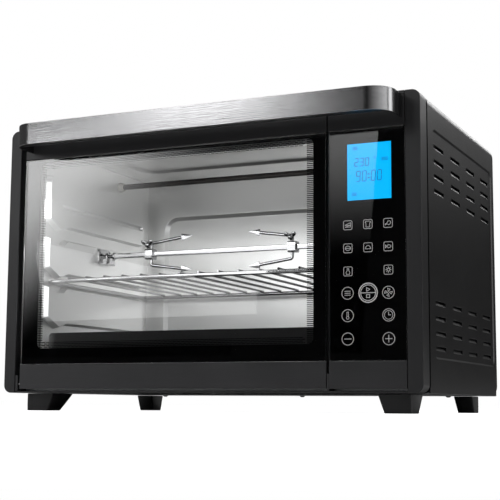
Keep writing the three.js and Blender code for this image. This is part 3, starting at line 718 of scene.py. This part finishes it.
def pads_on(shape, wall_x, inward):
    """The pads of one side wall: the tall one at the top, two below it and the ledge at the foot."""
    rears = [(height - guide_half_gap, height + guide_half_gap) for height in guide_heights]
    lines = [[(depth, roof + rise) for depth, rise in guide_roof] for _, roof in rears]
    tops = [[(depth, floor + rise) for depth, rise in guide_floor] for floor, _ in rears]
    pad(shape, lines[0] + [(pad_rear, rears[0][1]), (pad_rear, pad_top), (24, pad_top), (20, pad_top - 6)],
        wall_x, inward, pad_reach, groove=((45, 237), (crease_height - 3, crease_height + 3)))
    for upper in (0, 1):
        pad(shape, lines[upper + 1] + [(pad_rear, rears[upper + 1][1]), (pad_rear, rears[upper][0])]
            + tops[upper][::-1], wall_x, inward, pad_reach)
    block(shape, in_order(wall_x, wall_x + inward * pad_reach), (41, pad_rear), (81, 82.4))


left_wall, walls_d, wall_z = measured("liner_left")
right_wall = measured("liner_right")[0]
cavity_left = left_wall[1] - pad_reach
cavity_right = right_wall[0] + pad_reach
flange_z = (62.6, 283.6)
rods = ("heater_upper_front", "heater_upper_rear", "heater_lower_front", "heater_lower_rear")
fan_d, fan_z = measured("fan_blade")[1:]
fan_centre = (sum(fan_d) / 2, sum(fan_z) / 2)
rod_hole, socket_hole, lamp_hole = 4.2, 9, 16
fan_slot, fan_slots = ((9, 23), 2.4), 10

for name, wall_x, inward, flange_x in (("liner_left", cavity_left, 1, (left_wall[0], cavity_left)),
                                       ("liner_right", cavity_right, -1, (cavity_right, right_wall[1]))):
    wall = bmesh.new()
    rim = outline(wall, "x", walls_d, wall_z, wall_x)
    holes = []
    bores = [(rod, rod_hole, 16) for rod in rods]
    if name == "liner_right":
        bores += [("drive_socket", socket_hole, 32), ("lamp_lens", lamp_hole, 32)]
    for bored, radius, segments in bores:
        bored_d, bored_z = measured(bored)[1:]
        holes += round_hole(wall, (wall_x, sum(bored_d) / 2, sum(bored_z) / 2), radius, "Y", segments)
    if name == "liner_right":
        (slot_from, slot_to), half_slot = fan_slot
        for spoke in range(fan_slots):
            known = set(wall.verts)
            holes += outline(wall, "x", (fan_centre[0] + slot_from, fan_centre[0] + slot_to),
                             (fan_centre[1] - half_slot, fan_centre[1] + half_slot), wall_x, corner=2.3,
                             steps=4)
            bmesh.ops.rotate(wall, verts=[vert for vert in wall.verts if vert not in known],
                             cent=(wall_x, *fan_centre),
                             matrix=Matrix.Rotation(spoke * 2 * math.pi / fan_slots, 3, "X"))
    fill(wall, rim + [line for line in holes if line.is_valid])
    bmesh.ops.remove_doubles(wall, verts=wall.verts, dist=0.002)
    face_to(wall, 0, inward)
    make_piece(name, wall, liner_steel, wall=sheet, tidy=False, is_sheet=True)
    pressed = bmesh.new()
    pads_on(pressed, wall_x, inward)
    block(pressed, flange_x, (walls_d[0], walls_d[0] + sheet), flange_z)
    make_piece(name + "_pads", pressed, liner_steel, edge=1.6, edge_steps=3)


def pressed_sheet(through, outer, inner, level, press, slope, corner):
    """A flat sheet with one rounded panel pressed out of it by a few millimetres."""
    shape = bmesh.new()
    rim_lines = outline(shape, through, *outer, level)
    foot_lines = outline(shape, through, *inner, level, corner=corner, steps=8)
    crown_spans = [shrunk(limits, slope) for limits in inner]
    crown_lines = outline(shape, through, *crown_spans, level + press, corner=corner - slope, steps=8)
    fill(shape, rim_lines + foot_lines)
    bmesh.ops.bridge_loops(shape, edges=foot_lines + crown_lines)
    fill(shape, crown_lines)
    return shape


back_x, back_d, back_z = measured("liner_back")
back = pressed_sheet("d", (back_x, back_z), ((-186.5, 117.5), (84, 259)), back_d[0], 4, 5, 20)
make_piece("liner_back", back, liner_steel, edge=1.5, edge_steps=3, is_sheet=True)

ceiling_x, ceiling_d, ceiling_z = measured("liner_top")
# The top liner gets a darker copy of the liner steel: painted shade for the dim ceiling.
painted_shade_ceiling_steel = surface("painted_shade_ceiling_steel", (0.38, 0.375, 0.37), 0.34, metallic=0.85, stretch=(1, 1, 14),
                        fineness=60, bump=0.05)
ceiling = pressed_sheet("z", (ceiling_x, ceiling_d), ((-180, 111), (50, 206)), ceiling_z[0], 3, 4, 22)
make_piece("liner_top", ceiling, painted_shade_ceiling_steel, slot="liner_steel", edge=1.5, edge_steps=3, is_sheet=True)

ground_x, ground_d, ground_z = measured("liner_floor")
ground = pressed_sheet("z", (ground_x, ground_d), ((-180, 111), (50, 240)), ground_z[1], -3, 4, 22)
make_piece("liner_floor", ground, liner_steel, edge=1.5, edge_steps=3, is_sheet=True)

# Three small lamps stand in for the light that fills the cavity: one behind the door, one for the
# front ends of the left pads and one on the back wall.
for lamp_name, lamp_at, lamp_aim, lamp_size, lamp_power in (
        ("cavity_light", (-0.072, front_face + 0.008, 0.175), (-0.09, 0.12, 0.10), (0.28, 0.15), 0.38),
        ("pad_light", (-0.215, front_face + 0.006, 0.172), (-0.215, 0, 0.172), (0.022, 0.2), 0.03),
        ("wall_light", (-0.157, front_face + 0.258, 0.155), (-0.157, front_face, 0.155), (0.1, 0.18), 0.016)):
    softbox(lamp_name, lamp_at, lamp_aim, lamp_size, lamp_power).visible_transmission = False


# ---------------------------------------------------------------- heaters
# Four straight sheathed elements, two above and two below. Each runs from wall to wall through
# pale ceramic bushes, and its sheath is browned by heat.

heater_sheath = surface("heater_sheath", (0.035, 0.032, 0.03), 0.5, metallic=0.7, fineness=700, spread=0.5,
                        bump=0.2)
ceramic = surface("ceramic", (0.4, 0.39, 0.36), 0.5, fineness=1400, spread=0.06, bump=0.1)

stub, stub_radius = 5, 2
bushes = bmesh.new()
for heater_name in rods:
    rod_x, rod_d, rod_z = measured(heater_name)
    rod_centre = (sum(rod_d) / 2, sum(rod_z) / 2)
    rod_radius = (rod_z[1] - rod_z[0]) / 2
    rod = bmesh.new()
    body_x = shrunk(rod_x, stub)
    turned(rod, [(rod_x[0], 0), (rod_x[0], stub_radius), (body_x[0], stub_radius),
                 (body_x[0], rod_radius - 0.5), (body_x[0] + 0.5, rod_radius), (body_x[1] - 0.5, rod_radius),
                 (body_x[1], rod_radius - 0.5), (body_x[1], stub_radius), (rod_x[1], stub_radius),
                 (rod_x[1], 0)], rod_centre)
    make_piece(heater_name, rod, heater_sheath, crease=50)
    for wall_x, inward in ((cavity_left, 1), (cavity_right, -1)):
        turned(bushes, [(wall_x, rod_radius + 0.1), (wall_x, 6.4), (wall_x + inward * 2.2, 6.4),
                        (wall_x + inward * 3, 5.6), (wall_x + inward * 6, 5.2), (wall_x + inward * 6.6, 4.6),
                        (wall_x + inward * 6.6, rod_radius + 0.1)], rod_centre, steps=24)
make_piece("heater_bushes", bushes, ceramic, slot="zinc_steel", crease=50)


# ---------------------------------------------------------------- rotisserie
# A square chrome bar carries two forks, each clamped by a winged screw. The left end turns in a
# saddle on the wall, and the right end plugs into the motor's socket.

chrome = surface("chrome_wire", (0.36, 0.36, 0.365), 0.14, metallic=1, fineness=500, spread=0.05,
                 rough_spread=0.1, bump=0.03)


def wire(shape, points, radius, closed=False, bend_steps=2):
    """Adds a round wire that follows the points to a shape."""
    path = bpy.data.curves.new("wire", "CURVE")
    path.dimensions = "3D"
    path.bevel_depth = radius
    path.bevel_resolution = bend_steps
    path.use_fill_caps = not closed
    spline = path.splines.new("POLY")
    spline.points.add(len(points) - 1)
    for point, spot in zip(spline.points, points):
        point.co = (*spot, 1)
    spline.use_cyclic_u = closed
    holder = bpy.data.objects.new("wire", path)
    mesh = bpy.data.meshes.new_from_object(holder)
    tube = bmesh.new()
    tube.from_mesh(mesh)
    bmesh.ops.remove_doubles(tube, verts=tube.verts, dist=0.0005)
    bmesh.ops.recalc_face_normals(tube, faces=tube.faces)
    tube.to_mesh(mesh)
    tube.free()
    shape.from_mesh(mesh)
    bpy.data.objects.remove(holder)
    bpy.data.curves.remove(path)
    bpy.data.meshes.remove(mesh)


rod_x, rod_d, rod_z = measured("spit_rod")
socket_x, socket_d, socket_z = measured("drive_socket")
spit_centre = (sum(socket_d) / 2, sum(socket_z) / 2)
half_bar = 3
square_x = (rod_x[0] + 13, rod_x[1] - 11)
spit = bmesh.new()
block(spit, square_x, (spit_centre[0] - half_bar, spit_centre[0] + half_bar),
      (spit_centre[1] - half_bar, spit_centre[1] + half_bar), corner=0.7, through="x", steps=3)
turned(spit, [(rod_x[0], 0), (rod_x[0], 2), (rod_x[0] + 0.6, 2.5), (rod_x[0] + 3, 2.5), (rod_x[0] + 3, 4.2),
              (rod_x[0] + 3.5, 4.6), (rod_x[0] + 5, 4.6), (rod_x[0] + 5.5, 4.2), (rod_x[0] + 5.5, 2.5),
              (rod_x[0] + 12.5, 2.5), (rod_x[0] + 12.5, 4.2), (rod_x[0] + 13, 4.6), (rod_x[0] + 14.5, 4.6),
              (rod_x[0] + 15, 4.2), (rod_x[0] + 15, 0)], spit_centre, steps=24)
turned(spit, [(rod_x[1] - 12, 0), (rod_x[1] - 12, 3), (rod_x[1], 1.2), (rod_x[1], 0)], spit_centre, steps=24)
make_piece("spit_rod", spit, chrome, body="spit", crease=40)

prong_spread, tip_spread, prong_length = 14, 21, 57
prong_radius, prong_bend, head_length = 2, 3, 15
half_hub, hub_back, hub_ahead = 6.5, 6, 4
prong_plan = [(0, 5)]
prong_plan += [
    (prong_bend - prong_bend * math.cos(turn), prong_spread - prong_bend + prong_bend * math.sin(turn))
    for turn in (0, math.pi / 8, math.pi / 4, math.pi * 3 / 8)]
prong_plan += [(prong_length - head_length, tip_spread - 1.6), (prong_length, tip_spread)]
for fork_name, screw_name, facing in (
        ("fork_left", "thumbscrew_left", 1), ("fork_right", "thumbscrew_right", -1)):
    fork_x = measured(fork_name)[0]
    hub_x = fork_x[0] + hub_back if facing > 0 else fork_x[1] - hub_back
    fork = bmesh.new()
    block(fork, in_order(hub_x - facing * hub_back, hub_x + facing * hub_ahead),
          (spit_centre[0] - half_hub, spit_centre[0] + half_hub),
          (spit_centre[1] - half_hub, spit_centre[1] + half_hub), corner=2, through="x", steps=3)
    for side in (-1, 1):
        spots = [(hub_x + facing * reach, spit_centre[0], spit_centre[1] + side * spread)
                 for reach, spread in prong_plan]
        wire(fork, spots[:-1], prong_radius, bend_steps=3)
        head = bmesh.ops.create_cone(fork, cap_ends=True, segments=4, radius1=4.4, radius2=0.2,
                                     depth=head_length)["verts"]
        bmesh.ops.scale(fork, verts=head, vec=(0.3, 1, 1))
        neck, tip = Vector(spots[-2]), Vector(spots[-1])
        run = tip - neck
        turn_head = run.to_track_quat("Z", "Y").to_matrix().to_4x4()
        bmesh.ops.transform(fork, verts=head, matrix=Matrix.Translation(neck + run / 2) @ turn_head)
    make_piece(fork_name, fork, chrome, body="spit", tidy=False, crease=40, edge=0.25)

    stem_x = sum(measured(screw_name)[0]) / 2
    tilt = Vector((0, -0.6, 0.8))
    stem = bmesh.new()
    turned(stem, [(9.4, 0), (9.4, 2), (12, 2), (12, 3.2), (12.4, 3.6), (15.2, 3.6), (16, 3), (16, 0)], (0, 0),
           axis="z", steps=20)
    for side in (-1, 1):
        wing = bmesh.ops.create_uvsphere(stem, u_segments=12, v_segments=8, radius=1)["verts"]
        bmesh.ops.scale(stem, verts=wing, vec=(4.2, 1.3, 2.9))
        bmesh.ops.rotate(stem, verts=wing, cent=(0, 0, 0), matrix=Matrix.Rotation(-side * 0.7, 3, "Y"))
        bmesh.ops.translate(stem, verts=wing, vec=(side * 4.2, 0, 17))
    lean = tilt.to_track_quat("Z", "Y").to_matrix().to_4x4()
    hub_spot = Vector((stem_x, spit_centre[0], spit_centre[1]))
    bmesh.ops.transform(stem, verts=stem.verts, matrix=Matrix.Translation(hub_spot) @ lean)
    make_piece(screw_name, stem, chrome, body="spit", crease=50)

socket = bmesh.new()
turned(socket, [(socket_x[0] + 18, 0), (socket_x[0] + 18, 4.4), (socket_x[0], 4.4), (socket_x[0], 7.4),
                (socket_x[0] + 0.6, 8), (socket_x[1] - 6, 8), (socket_x[1] - 6, 5), (socket_x[1], 5),
                (socket_x[1], 0)], spit_centre)
make_piece("drive_socket", socket, chrome, body="spit", crease=40)

holder_x, holder_d, holder_z = measured("spit_holder")
holder = bmesh.new()
block(holder, (holder_x[0], holder_x[0] + sheet), holder_d, holder_z, corner=4, through="x")
saddle_d, saddle_sheet = (spit_centre[0] - 10, spit_centre[0] + 10), (holder_x[1] - 1.2, holder_x[1])
block(holder, holder_x, saddle_d, (holder_z[0], holder_z[0] + 1.5))
for side in (-1, 1):
    arm = in_order(spit_centre[0] + side * 3.2, spit_centre[0] + side * 10)
    block(holder, saddle_sheet, arm, (holder_z[0], 194), corner=2, rounded=(2, 3), through="x", steps=4)
block(holder, saddle_sheet, saddle_d, (holder_z[0], 188.6), through="x")
for side in (-1, 1):
    screw_head(holder, (spit_centre[0] + side * 11.5, 197), holder_x[0] + sheet - 0.2, "x", 1, radius=2)
make_piece("spit_holder", holder, chrome, edge=0.25)


# ---------------------------------------------------------------- wire rack
# Chromed steel: a thick wire rim with thirteen thinner wires welded across its top from front to
# back. It slides on the level guides of the side walls.

rack_x, rack_d, rack_z = measured("wire_rack")
rim_radius, cross_radius = 2.5, 1.5
rim_height = rack_z[0] + rim_radius
cross_height = rim_height + 3.2
rim_corner = 9


def loop_points(x, d, z, corner, steps=6):
    """Points round a rounded rectangle at one height."""
    points = []
    (low_x, high_x), (low_d, high_d) = shrunk(x, corner), shrunk(d, corner)
    for quarter, (centre_x, centre_d) in enumerate(
            ((high_x, low_d), (high_x, high_d), (low_x, high_d), (low_x, low_d))):
        for step in range(steps + 1):
            turn = (quarter - 1 + step / steps) * math.pi / 2
            points.append((centre_x + corner * math.cos(turn), centre_d + corner * math.sin(turn), z))
    return points


rack = bmesh.new()
wire(rack, loop_points(shrunk(rack_x, rim_radius), shrunk(rack_d, rim_radius), rim_height, rim_corner),
     rim_radius, closed=True, bend_steps=3)
rack_middle = sum(rack_x) / 2
wire_pitch = 24.1
for count in range(-6, 7):
    across = rack_middle + count * wire_pitch
    ends = [(across, back, cross_height) for back in shrunk(rack_d, cross_radius)]
    wire(rack, ends, cross_radius)
make_piece("wire_rack", rack, chrome, body="rack", tidy=False, crease=60)


# ---------------------------------------------------------------- crumb tray
# A shallow tray of dark enamelled steel that lies on the cavity floor, with a raised lip to pull.

tray_x, tray_d, tray_z = measured("crumb_tray")
tray = bmesh.new()
block(tray, tray_x, tray_d, (tray_z[0], tray_z[0] + 5.5), corner=6, through="z")
lid = [face for face in tray.faces if all(vert.co.z > tray_z[0] + 5 for vert in face.verts)]
bmesh.ops.delete(tray, geom=lid, context="FACES_ONLY")
bmesh.ops.recalc_face_normals(tray, faces=tray.faces)
block(tray, shrunk(tray_x, 6), (tray_d[0], tray_d[0] + 1.2), (tray_z[0] + 2, tray_z[1]), corner=3,
      rounded=(2, 3))
dark_enamel = surface("dark_enamel", (0.004, 0.004, 0.0045), 0.3, spread=0.2)
make_piece("crumb_tray", tray, dark_enamel, body="tray", slot="dark_steel", wall=0.9, tidy=False)


# ---------------------------------------------------------------- control panel
# A toughened glass plate printed black on its back, with a window for the display. Grey symbols
# mark the touch keys. The carrier behind it holds the display and the circuit board.


def clear_glass(name, tint=(1, 1, 1), roughness=0.0):
    """Clear glass with faint smears in its gloss."""
    made, tree, shader = new_material(name)
    shader.inputs["Base Color"].default_value = (*tint, 1)
    shader.inputs["Transmission Weight"].default_value = 1
    shader.inputs["IOR"].default_value = 1.5
    smears = noise(tree, node(tree, "TexCoord").outputs["Object"], 9, 5)
    film = node(tree, "MapRange", {"From Min": 0.5, "From Max": 0.9, "To Min": roughness,
                                   "To Max": roughness + 0.02, "Value": smears})
    feed(tree, shader.inputs["Roughness"], film.outputs["Result"])
    return made


panel_glass_clear = clear_glass("panel_glass_clear")
glass_print = surface("black_print", (0.002, 0.002, 0.0025), 0.6, fineness=1200, bump=0.02,
                      Specular_IOR_Level=0.0)

panel_x, panel_d, panel_z = measured("panel_glass")
screen_x, screen_z = (171, 218.3), (217, 276)
plain_bar("panel_glass", panel_glass_clear, corner=0.8, steps=3, slot="black_glass", edge=0.35)

backing = bmesh.new()
print_margin, print_level = 0.4, panel_d[1] + 0.12
print_rim = outline(backing, "d", shrunk(panel_x, print_margin), shrunk(panel_z, print_margin), print_level)
print_window = outline(backing, "d", screen_x, screen_z, print_level)
fill(backing, print_rim + print_window)
face_to(backing, 1, -1)
make_piece("panel_print", backing, glass_print, slot="black_glass", wall=0.12, tidy=False)

# The symbols are grey print that also glows faintly: painted light that keeps them bright behind the glass.
glowing_key_grey = surface("glowing_key_grey", (0.5, 0.5, 0.5), 0.5, fineness=2000, bump=0.02, Emission_Strength=0.34,
                   Emission_Color=(0.62, 0.62, 0.62, 1))
symbols = bmesh.new()
symbol_d = (panel_d[1] + 0.03, panel_d[1] + 0.09)


def stroke(shape, start, end, width=0.55, level=symbol_d):
    """A printed line between two (across, up) points."""
    run = Vector((end[0] - start[0], 0, end[1] - start[1]))
    turn = Matrix.Rotation(-math.atan2(run.z, run.x), 4, "Y")
    middle = Vector(((start[0] + end[0]) / 2, sum(level) / 2, (start[1] + end[1]) / 2))
    size = Matrix.Diagonal((run.length + width * 0.6, level[1] - level[0], width, 1))
    bmesh.ops.create_cube(shape, size=1, matrix=Matrix.Translation(middle) @ turn @ size)


def frame_line(shape, centre, half, width=0.55, corner=1.8):
    """A rounded square outline."""
    across, up = ((middle - half, middle + half) for middle in centre)
    outer = outline(shape, "d", across, up, symbol_d[0], corner=corner, steps=3)
    inner = outline(shape, "d", shrunk(across, width), shrunk(up, width), symbol_d[0], corner=corner - width,
                    steps=3)
    bmesh.ops.bridge_loops(shape, edges=outer + inner)


def ring(shape, centre, radius, width=0.6, steps=32):
    """A printed circle line."""
    turned(shape, [(symbol_d[0], radius - width), (symbol_d[0], radius), (symbol_d[1], radius),
                   (symbol_d[1], radius - width), (symbol_d[0], radius - width)], centre, axis="d",
           steps=steps)


def polyline(shape, centre, points, closed=False, width=0.5, level=symbol_d):
    """Printed lines through points measured from a symbol's centre."""
    spots = [(centre[0] + across, centre[1] + up) for across, up in points]
    if closed:
        spots.append(spots[0])
    for start, end in zip(spots, spots[1:]):
        stroke(shape, start, end, width, level)


def oval(half_x, half_z, count=10):
    """Points round an oval."""
    turns = [step * 2 * math.pi / count for step in range(count)]
    return [(half_x * math.cos(turn), half_z * math.sin(turn)) for turn in turns]


key_columns = (171.3, 193, 214.5)
cake = [(-3, -2), (3, -2), (3, 0), (-3, 0), (3, 2.6), (3, 0)]
toast = [(-2, -3), (2, -3), (2, 1), (3, 2), (2, 3), (-2, 3), (-3, 2), (-2, 1)]
drumstick = [(-3, -2), (-1, -1), (1, -2), (3, 0), (2, 2), (0, 2), (-1, 0), (-3, -1)]
pizza_cuts = [(-2.6, 0), (2.6, 0)]
pie = [(-3, -1.5), (3, -1.5), (2.4, 0.2), (1, 1.8), (-1, 1.8), (-2.4, 0.2)]
fish = [(-3, 1.5), (-1.5, 0), (0, 1.6), (2, 1.2), (3, 0), (2, -1.2), (0, -1.6), (-1.5, 0), (-3, -1.5)]
bottle = [(-1.8, -3), (1.8, -3), (2, -0.8), (0.8, 0.8), (0.8, 2.8), (-0.8, 2.8), (-0.8, 0.8), (-2, -0.8)]
square_keys = [
    (0, 191.5, cake), (1, 191.5, toast), (2, 191.5, drumstick),
    (0, 167.6, oval(2.9, 2.3)), (1, 167.6, pie), (2, 167.6, fish),
    (0, 143.8, bottle), (2, 143.8, oval(1.5, 1.5, 8)),
]
for column, height, picture in square_keys:
    spot = (key_columns[column], height)
    frame_line(symbols, spot, 4.9)
    polyline(symbols, spot, picture, closed=True)
polyline(symbols, (key_columns[0], 167.6), pizza_cuts)
for spoke in range(8):
    turn = spoke * math.pi / 4
    polyline(symbols, (key_columns[2], 143.8), [(1.9 * math.cos(turn), 1.9 * math.sin(turn)),
                                                (3 * math.cos(turn), 3 * math.sin(turn))])

left_key, middle_key, right_key = 170.8, 192.8, 214.3
for across, height in ((left_key, 121.4), (right_key, 120.9), (left_key, 98.5), (right_key, 98.2),
                       (left_key, 74.8), (right_key, 74.4)):
    ring(symbols, (across, height), 6.5)
ring(symbols, (middle_key, 121.2), 10.3, width=1.1)
ring(symbols, (middle_key, 121.2), 8.3, width=0.7)
stroke(symbols, (middle_key - 7.8, 121.2), (middle_key + 7.8, 121.2), 0.8)
polyline(symbols, (middle_key, 124.6), [(-1.6, -1.9), (-1.6, 1.9), (1.9, 0)], closed=True, width=0.6)
polyline(symbols, (middle_key, 117.8), [(-1.7, -1.5), (1.7, -1.5), (1.7, 1.5), (-1.7, 1.5)], closed=True,
         width=0.6)
for lift in (-2, 0, 2):
    stroke(symbols, (left_key - 3, 121.4 + lift), (left_key + 3, 121.4 + lift), 0.6)
for blade in range(4):
    turn = blade * math.pi / 2
    petal = [(reach * math.cos(turn + swing), reach * math.sin(turn + swing))
             for reach, swing in ((0.8, 0), (3.6, -0.5), (4.3, 0.2))]
    polyline(symbols, (right_key, 120.9), petal, closed=True)
polyline(symbols, (left_key, 96.3), oval(1.5, 1.5, 8), closed=True)
polyline(symbols, (left_key, 98.5), [(-0.8, -0.9), (-0.8, 3.6), (0.8, 3.6), (0.8, -0.9)])
ring(symbols, (right_key, 98.2), 4.6, width=0.5, steps=24)
polyline(symbols, (right_key, 98.2), [(0, 3), (0, 0), (2.2, 0)], width=0.6)
stroke(symbols, (left_key - 3.6, 74.8), (left_key + 3.6, 74.8), 0.7)
stroke(symbols, (right_key - 3.6, 74.4), (right_key + 3.6, 74.4), 0.7)
stroke(symbols, (right_key, 74.4 - 3.6), (right_key, 74.4 + 3.6), 0.7)
make_piece("panel_symbols", symbols, glowing_key_grey, slot="black_glass", tidy=False)

dark_steel = surface("dark_steel", (0.085, 0.085, 0.088), 0.34, metallic=1, stretch=(1, 1, 60), fineness=22,
                     spread=0.16, rough_spread=0.12, bump=0.06)
plain_bar("panel_bottom_trim", dark_steel, edge=0.35)


# ---------------------------------------------------------------- display
# A backlit liquid crystal module: a flat blue glass in which darker segments show the
# temperature and the time left.

lcd_d = measured("lcd_module")[1]
display_blue = surface("display_blue", (0.0, 0.2, 0.4), 0.3, fineness=60, spread=0.05, bump=0.0,
                       Emission_Color=(0.0, 0.47, 0.95, 1), Emission_Strength=1.0,
                       Specular_IOR_Level=0.1)
segment_blue = surface("segment_blue", (0.01, 0.1, 0.25), 0.4, fineness=60, spread=0.05, bump=0.0,
                       Emission_Color=(0.0, 0.07, 0.26, 1), Emission_Strength=0.8)
plain_bar("lcd_module", display_blue, slot="display", edge=0.3)

lit_segments = {"0": "abcdef", "2": "abged", "3": "abgcd", "9": "abcdfg"}
segment_lines = {"a": ((0, 2), (1, 2)), "b": ((1, 2), (1, 1)), "c": ((1, 1), (1, 0)), "d": ((0, 0), (1, 0)),
                 "e": ((0, 0), (0, 1)), "f": ((0, 1), (0, 2)), "g": ((0, 1), (1, 1))}
segment_width, segment_gap, digit_lean = 0.75, 0.1, 0.06
digits = bmesh.new()
digit_d = (lcd_d[0] - 0.1, lcd_d[0] - 0.02)


def show_number(text, left, bottom, width, height, pitch):
    """Digits of seven segments, leaning a little, the segments' ends drawn in from their corners."""
    for place, digit in enumerate(text):
        for name in lit_segments[digit]:
            start, end = (Vector((left + place * pitch + u * width + v * digit_lean * height / 2,
                                  bottom + v * height / 2)) for u, v in segment_lines[name])
            gap = (end - start) * segment_gap
            stroke(digits, start + gap, end - gap, segment_width, digit_d)


show_number("230", 179, 252.5, 3.4, 8, 5.8)
show_number("90", 180.5, 236.5, 4.1, 10.5, 6.6)
show_number("00", 196.8, 236.5, 4.1, 10.5, 6.6)
for dot in (239.5, 243.5):
    stroke(digits, (193.6, dot), (194.8, dot), 1.2, digit_d)
polyline(digits, (200, 259.5), [(0, 0), (1.5, 0), (1.5, 1.5), (0, 1.5)], closed=True, width=0.4,
         level=digit_d)
for icon_x, icon_z, icon_w in ((177, 270, 5), (208, 257, 7), (176, 222, 5)):
    for lift in range(3):
        stroke(digits, (icon_x, icon_z + lift * 1.3), (icon_x + icon_w, icon_z + lift * 1.3), 0.5, digit_d)
make_piece("lcd_segments", digits, segment_blue, slot="display", tidy=False)


# ---------------------------------------------------------------- door glass
# One toughened pane. Its border is printed black from behind, and a fringe of fine dashes runs
# round the clear window.

door_x, door_d, door_z = measured("door_glass")
window_x, window_z = (-200, 125.5), (78, 279)
fringe = 7.5
door_clear = clear_glass("door_clear", tint=(0.97, 0.98, 0.98))
plain_bar("door_glass", door_clear, corner=0.8, steps=3, body="door", slot="door_glass", edge=0.35)

border = bmesh.new()
border_level = door_d[1] + 0.05
border_rim = outline(border, "d", shrunk(door_x, print_margin), shrunk(door_z, print_margin), border_level)
border_window = outline(border, "d", shrunk(window_x, -fringe), shrunk(window_z, -fringe), border_level,
                        corner=6)
fill(border, border_rim + border_window)
face_to(border, 1, -1)
make_piece("door_border_print", border, glass_print, body="door", slot="black_glass", wall=0.12, tidy=False)

dashes = bmesh.new()
dash_d = (border_level, border_level + 0.08)
dash_pitch, dash_width = 2.0, 0.95
rows_up = int((window_z[1] - window_z[0] + 2 * fringe) / dash_pitch)
for count in range(rows_up):
    height = window_z[0] - fringe + (count + 0.5) * dash_pitch
    stroke(dashes, (window_x[0] - fringe, height), (window_x[0] - 0.6, height), dash_width, dash_d)
    stroke(dashes, (window_x[1] + 0.6, height), (window_x[1] + fringe, height), dash_width, dash_d)
dash_length = 5.2
rows_across = int((window_x[1] - window_x[0]) / dash_length)
for count in range(rows_across):
    left = window_x[0] + count * dash_length
    for line in range(4):
        shift = dash_length / 2 if line % 2 else 0
        for edge_z, away in ((window_z[1] + 0.8, 1), (window_z[0] - 0.8, -1)):
            height = edge_z + away * line * 1.8
            stroke(dashes, (left + shift, height), (left + shift + dash_length * 0.72, height), 0.85, dash_d)
make_piece("door_fringe_print", dashes, glass_print, body="door", slot="black_glass", tidy=False)


# ---------------------------------------------------------------- door frame
# Black steel channels down both edges and a rail at the foot carry the pane. A plastic rail runs
# over the top of the pane and of the panel, and the handle is screwed to it.

top_x, top_d, top_z = measured("door_top_rail")
rail_joint = sum((measured("door_glass")[0][1], measured("panel_glass")[0][0])) / 2
for part_name, part_x in (("door_top_rail", (top_x[0], rail_joint - 0.6)),
                          ("door_top_rail_end", (rail_joint + 0.6, top_x[1]))):
    part = bmesh.new()
    block(part, part_x, top_d, top_z)
    make_piece(part_name, part, black_plastic, body="door", stands_for=["door_top_rail"], edge=0.6)

for channel_name in ("door_channel_left", "door_channel_right", "door_lower_rail"):
    plain_bar(channel_name, black_paint, body="door", edge=0.8)
plain_bar("door_bottom_trim", dark_steel, body="door", edge=0.35)

pin_radius, pin_chamfer = 3, 0.5
for pin_name in ("hinge_pin_left", "hinge_pin_right"):
    pin_x, pin_d, pin_z = measured(pin_name)
    pin = bmesh.new()
    turned(pin, [(pin_x[0], 0), (pin_x[0], pin_radius - pin_chamfer), (pin_x[0] + pin_chamfer, pin_radius),
                 (pin_x[1] - pin_chamfer, pin_radius), (pin_x[1], pin_radius - pin_chamfer), (pin_x[1], 0)],
           (sum(pin_d) / 2, sum(pin_z) / 2), steps=24)
    make_piece(pin_name, pin, chrome, body="door", crease=40)


# ---------------------------------------------------------------- handle
# A band of brushed dark stainless steel, bent back at both ends, with a black plastic grip
# pressed into it from behind.

band_x, band_d, band_z = measured("handle_band")
band_bend, band_wall, grip_gap = 26, 1.6, 0.3
band = bmesh.new()
plan = outline(band, "z", band_x, band_d, band_z[0], corner=band_bend, rounded=(0, 1), steps=14)
open_back = [line for line in plan if all(vert.co.y > band_d[1] - 0.1 for vert in line.verts)]
bmesh.ops.delete(band, geom=open_back, context="EDGES")
known = set(band.verts)
bmesh.ops.extrude_edge_only(band, edges=band.edges[:])
bmesh.ops.translate(band, verts=[vert for vert in band.verts if vert not in known],
                    vec=(0, 0, band_z[1] - band_z[0]))
face_to(band, 1, -1)
handle_steel = surface("handle_steel", (0.3, 0.3, 0.305), 0.17, metallic=1, stretch=(1, 1, 60), fineness=26,
                       spread=0.12, rough_spread=0.08, bump=0.3)
make_piece("handle_band", band, handle_steel, body="door", slot="dark_steel", wall=band_wall, edge=0.45,
           tidy=False)

grip_x, grip_d, grip_z = measured("handle_grip")
grip = bmesh.new()
block(grip, grip_x, grip_d, grip_z, corner=band_bend - band_wall - grip_gap, through="z", rounded=(0, 1),
      steps=14)
make_piece("handle_grip", grip, black_plastic, body="door", edge=0.5)


# ---------------------------------------------------------------- inner pieces that keep their shape
# Brackets, motors, boards and lamp parts are made as the design has them, and get their finish.

circuit_green = surface("circuit_board", (0.02, 0.12, 0.05), 0.35, fineness=400, spread=0.5, bump=0.1)
lamp_glass = clear_glass("lamp_glass", tint=(1, 0.98, 0.93), roughness=0.15)
finishes = (
    (liner_steel, ["front_header"]),
    (zinc, ["front_sill", "lamp_holder", "spit_motor", "fan_motor", "fan_blade", "door_spring_left",
            "door_spring_right"]),
    (dark_zinc, ["hinge_tab_left", "hinge_tab_right"]),
    (chrome, ["temperature_probe"]),
    (black_plastic, ["thermal_cutout", "panel_carrier"]),
    (circuit_green, ["control_board", "power_board"]),
    (lamp_glass, ["lamp_lens"]),
)
for finish, parts in finishes:
    for part in parts:
        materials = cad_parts[part].data.materials
        materials.clear()
        materials.append(finish)
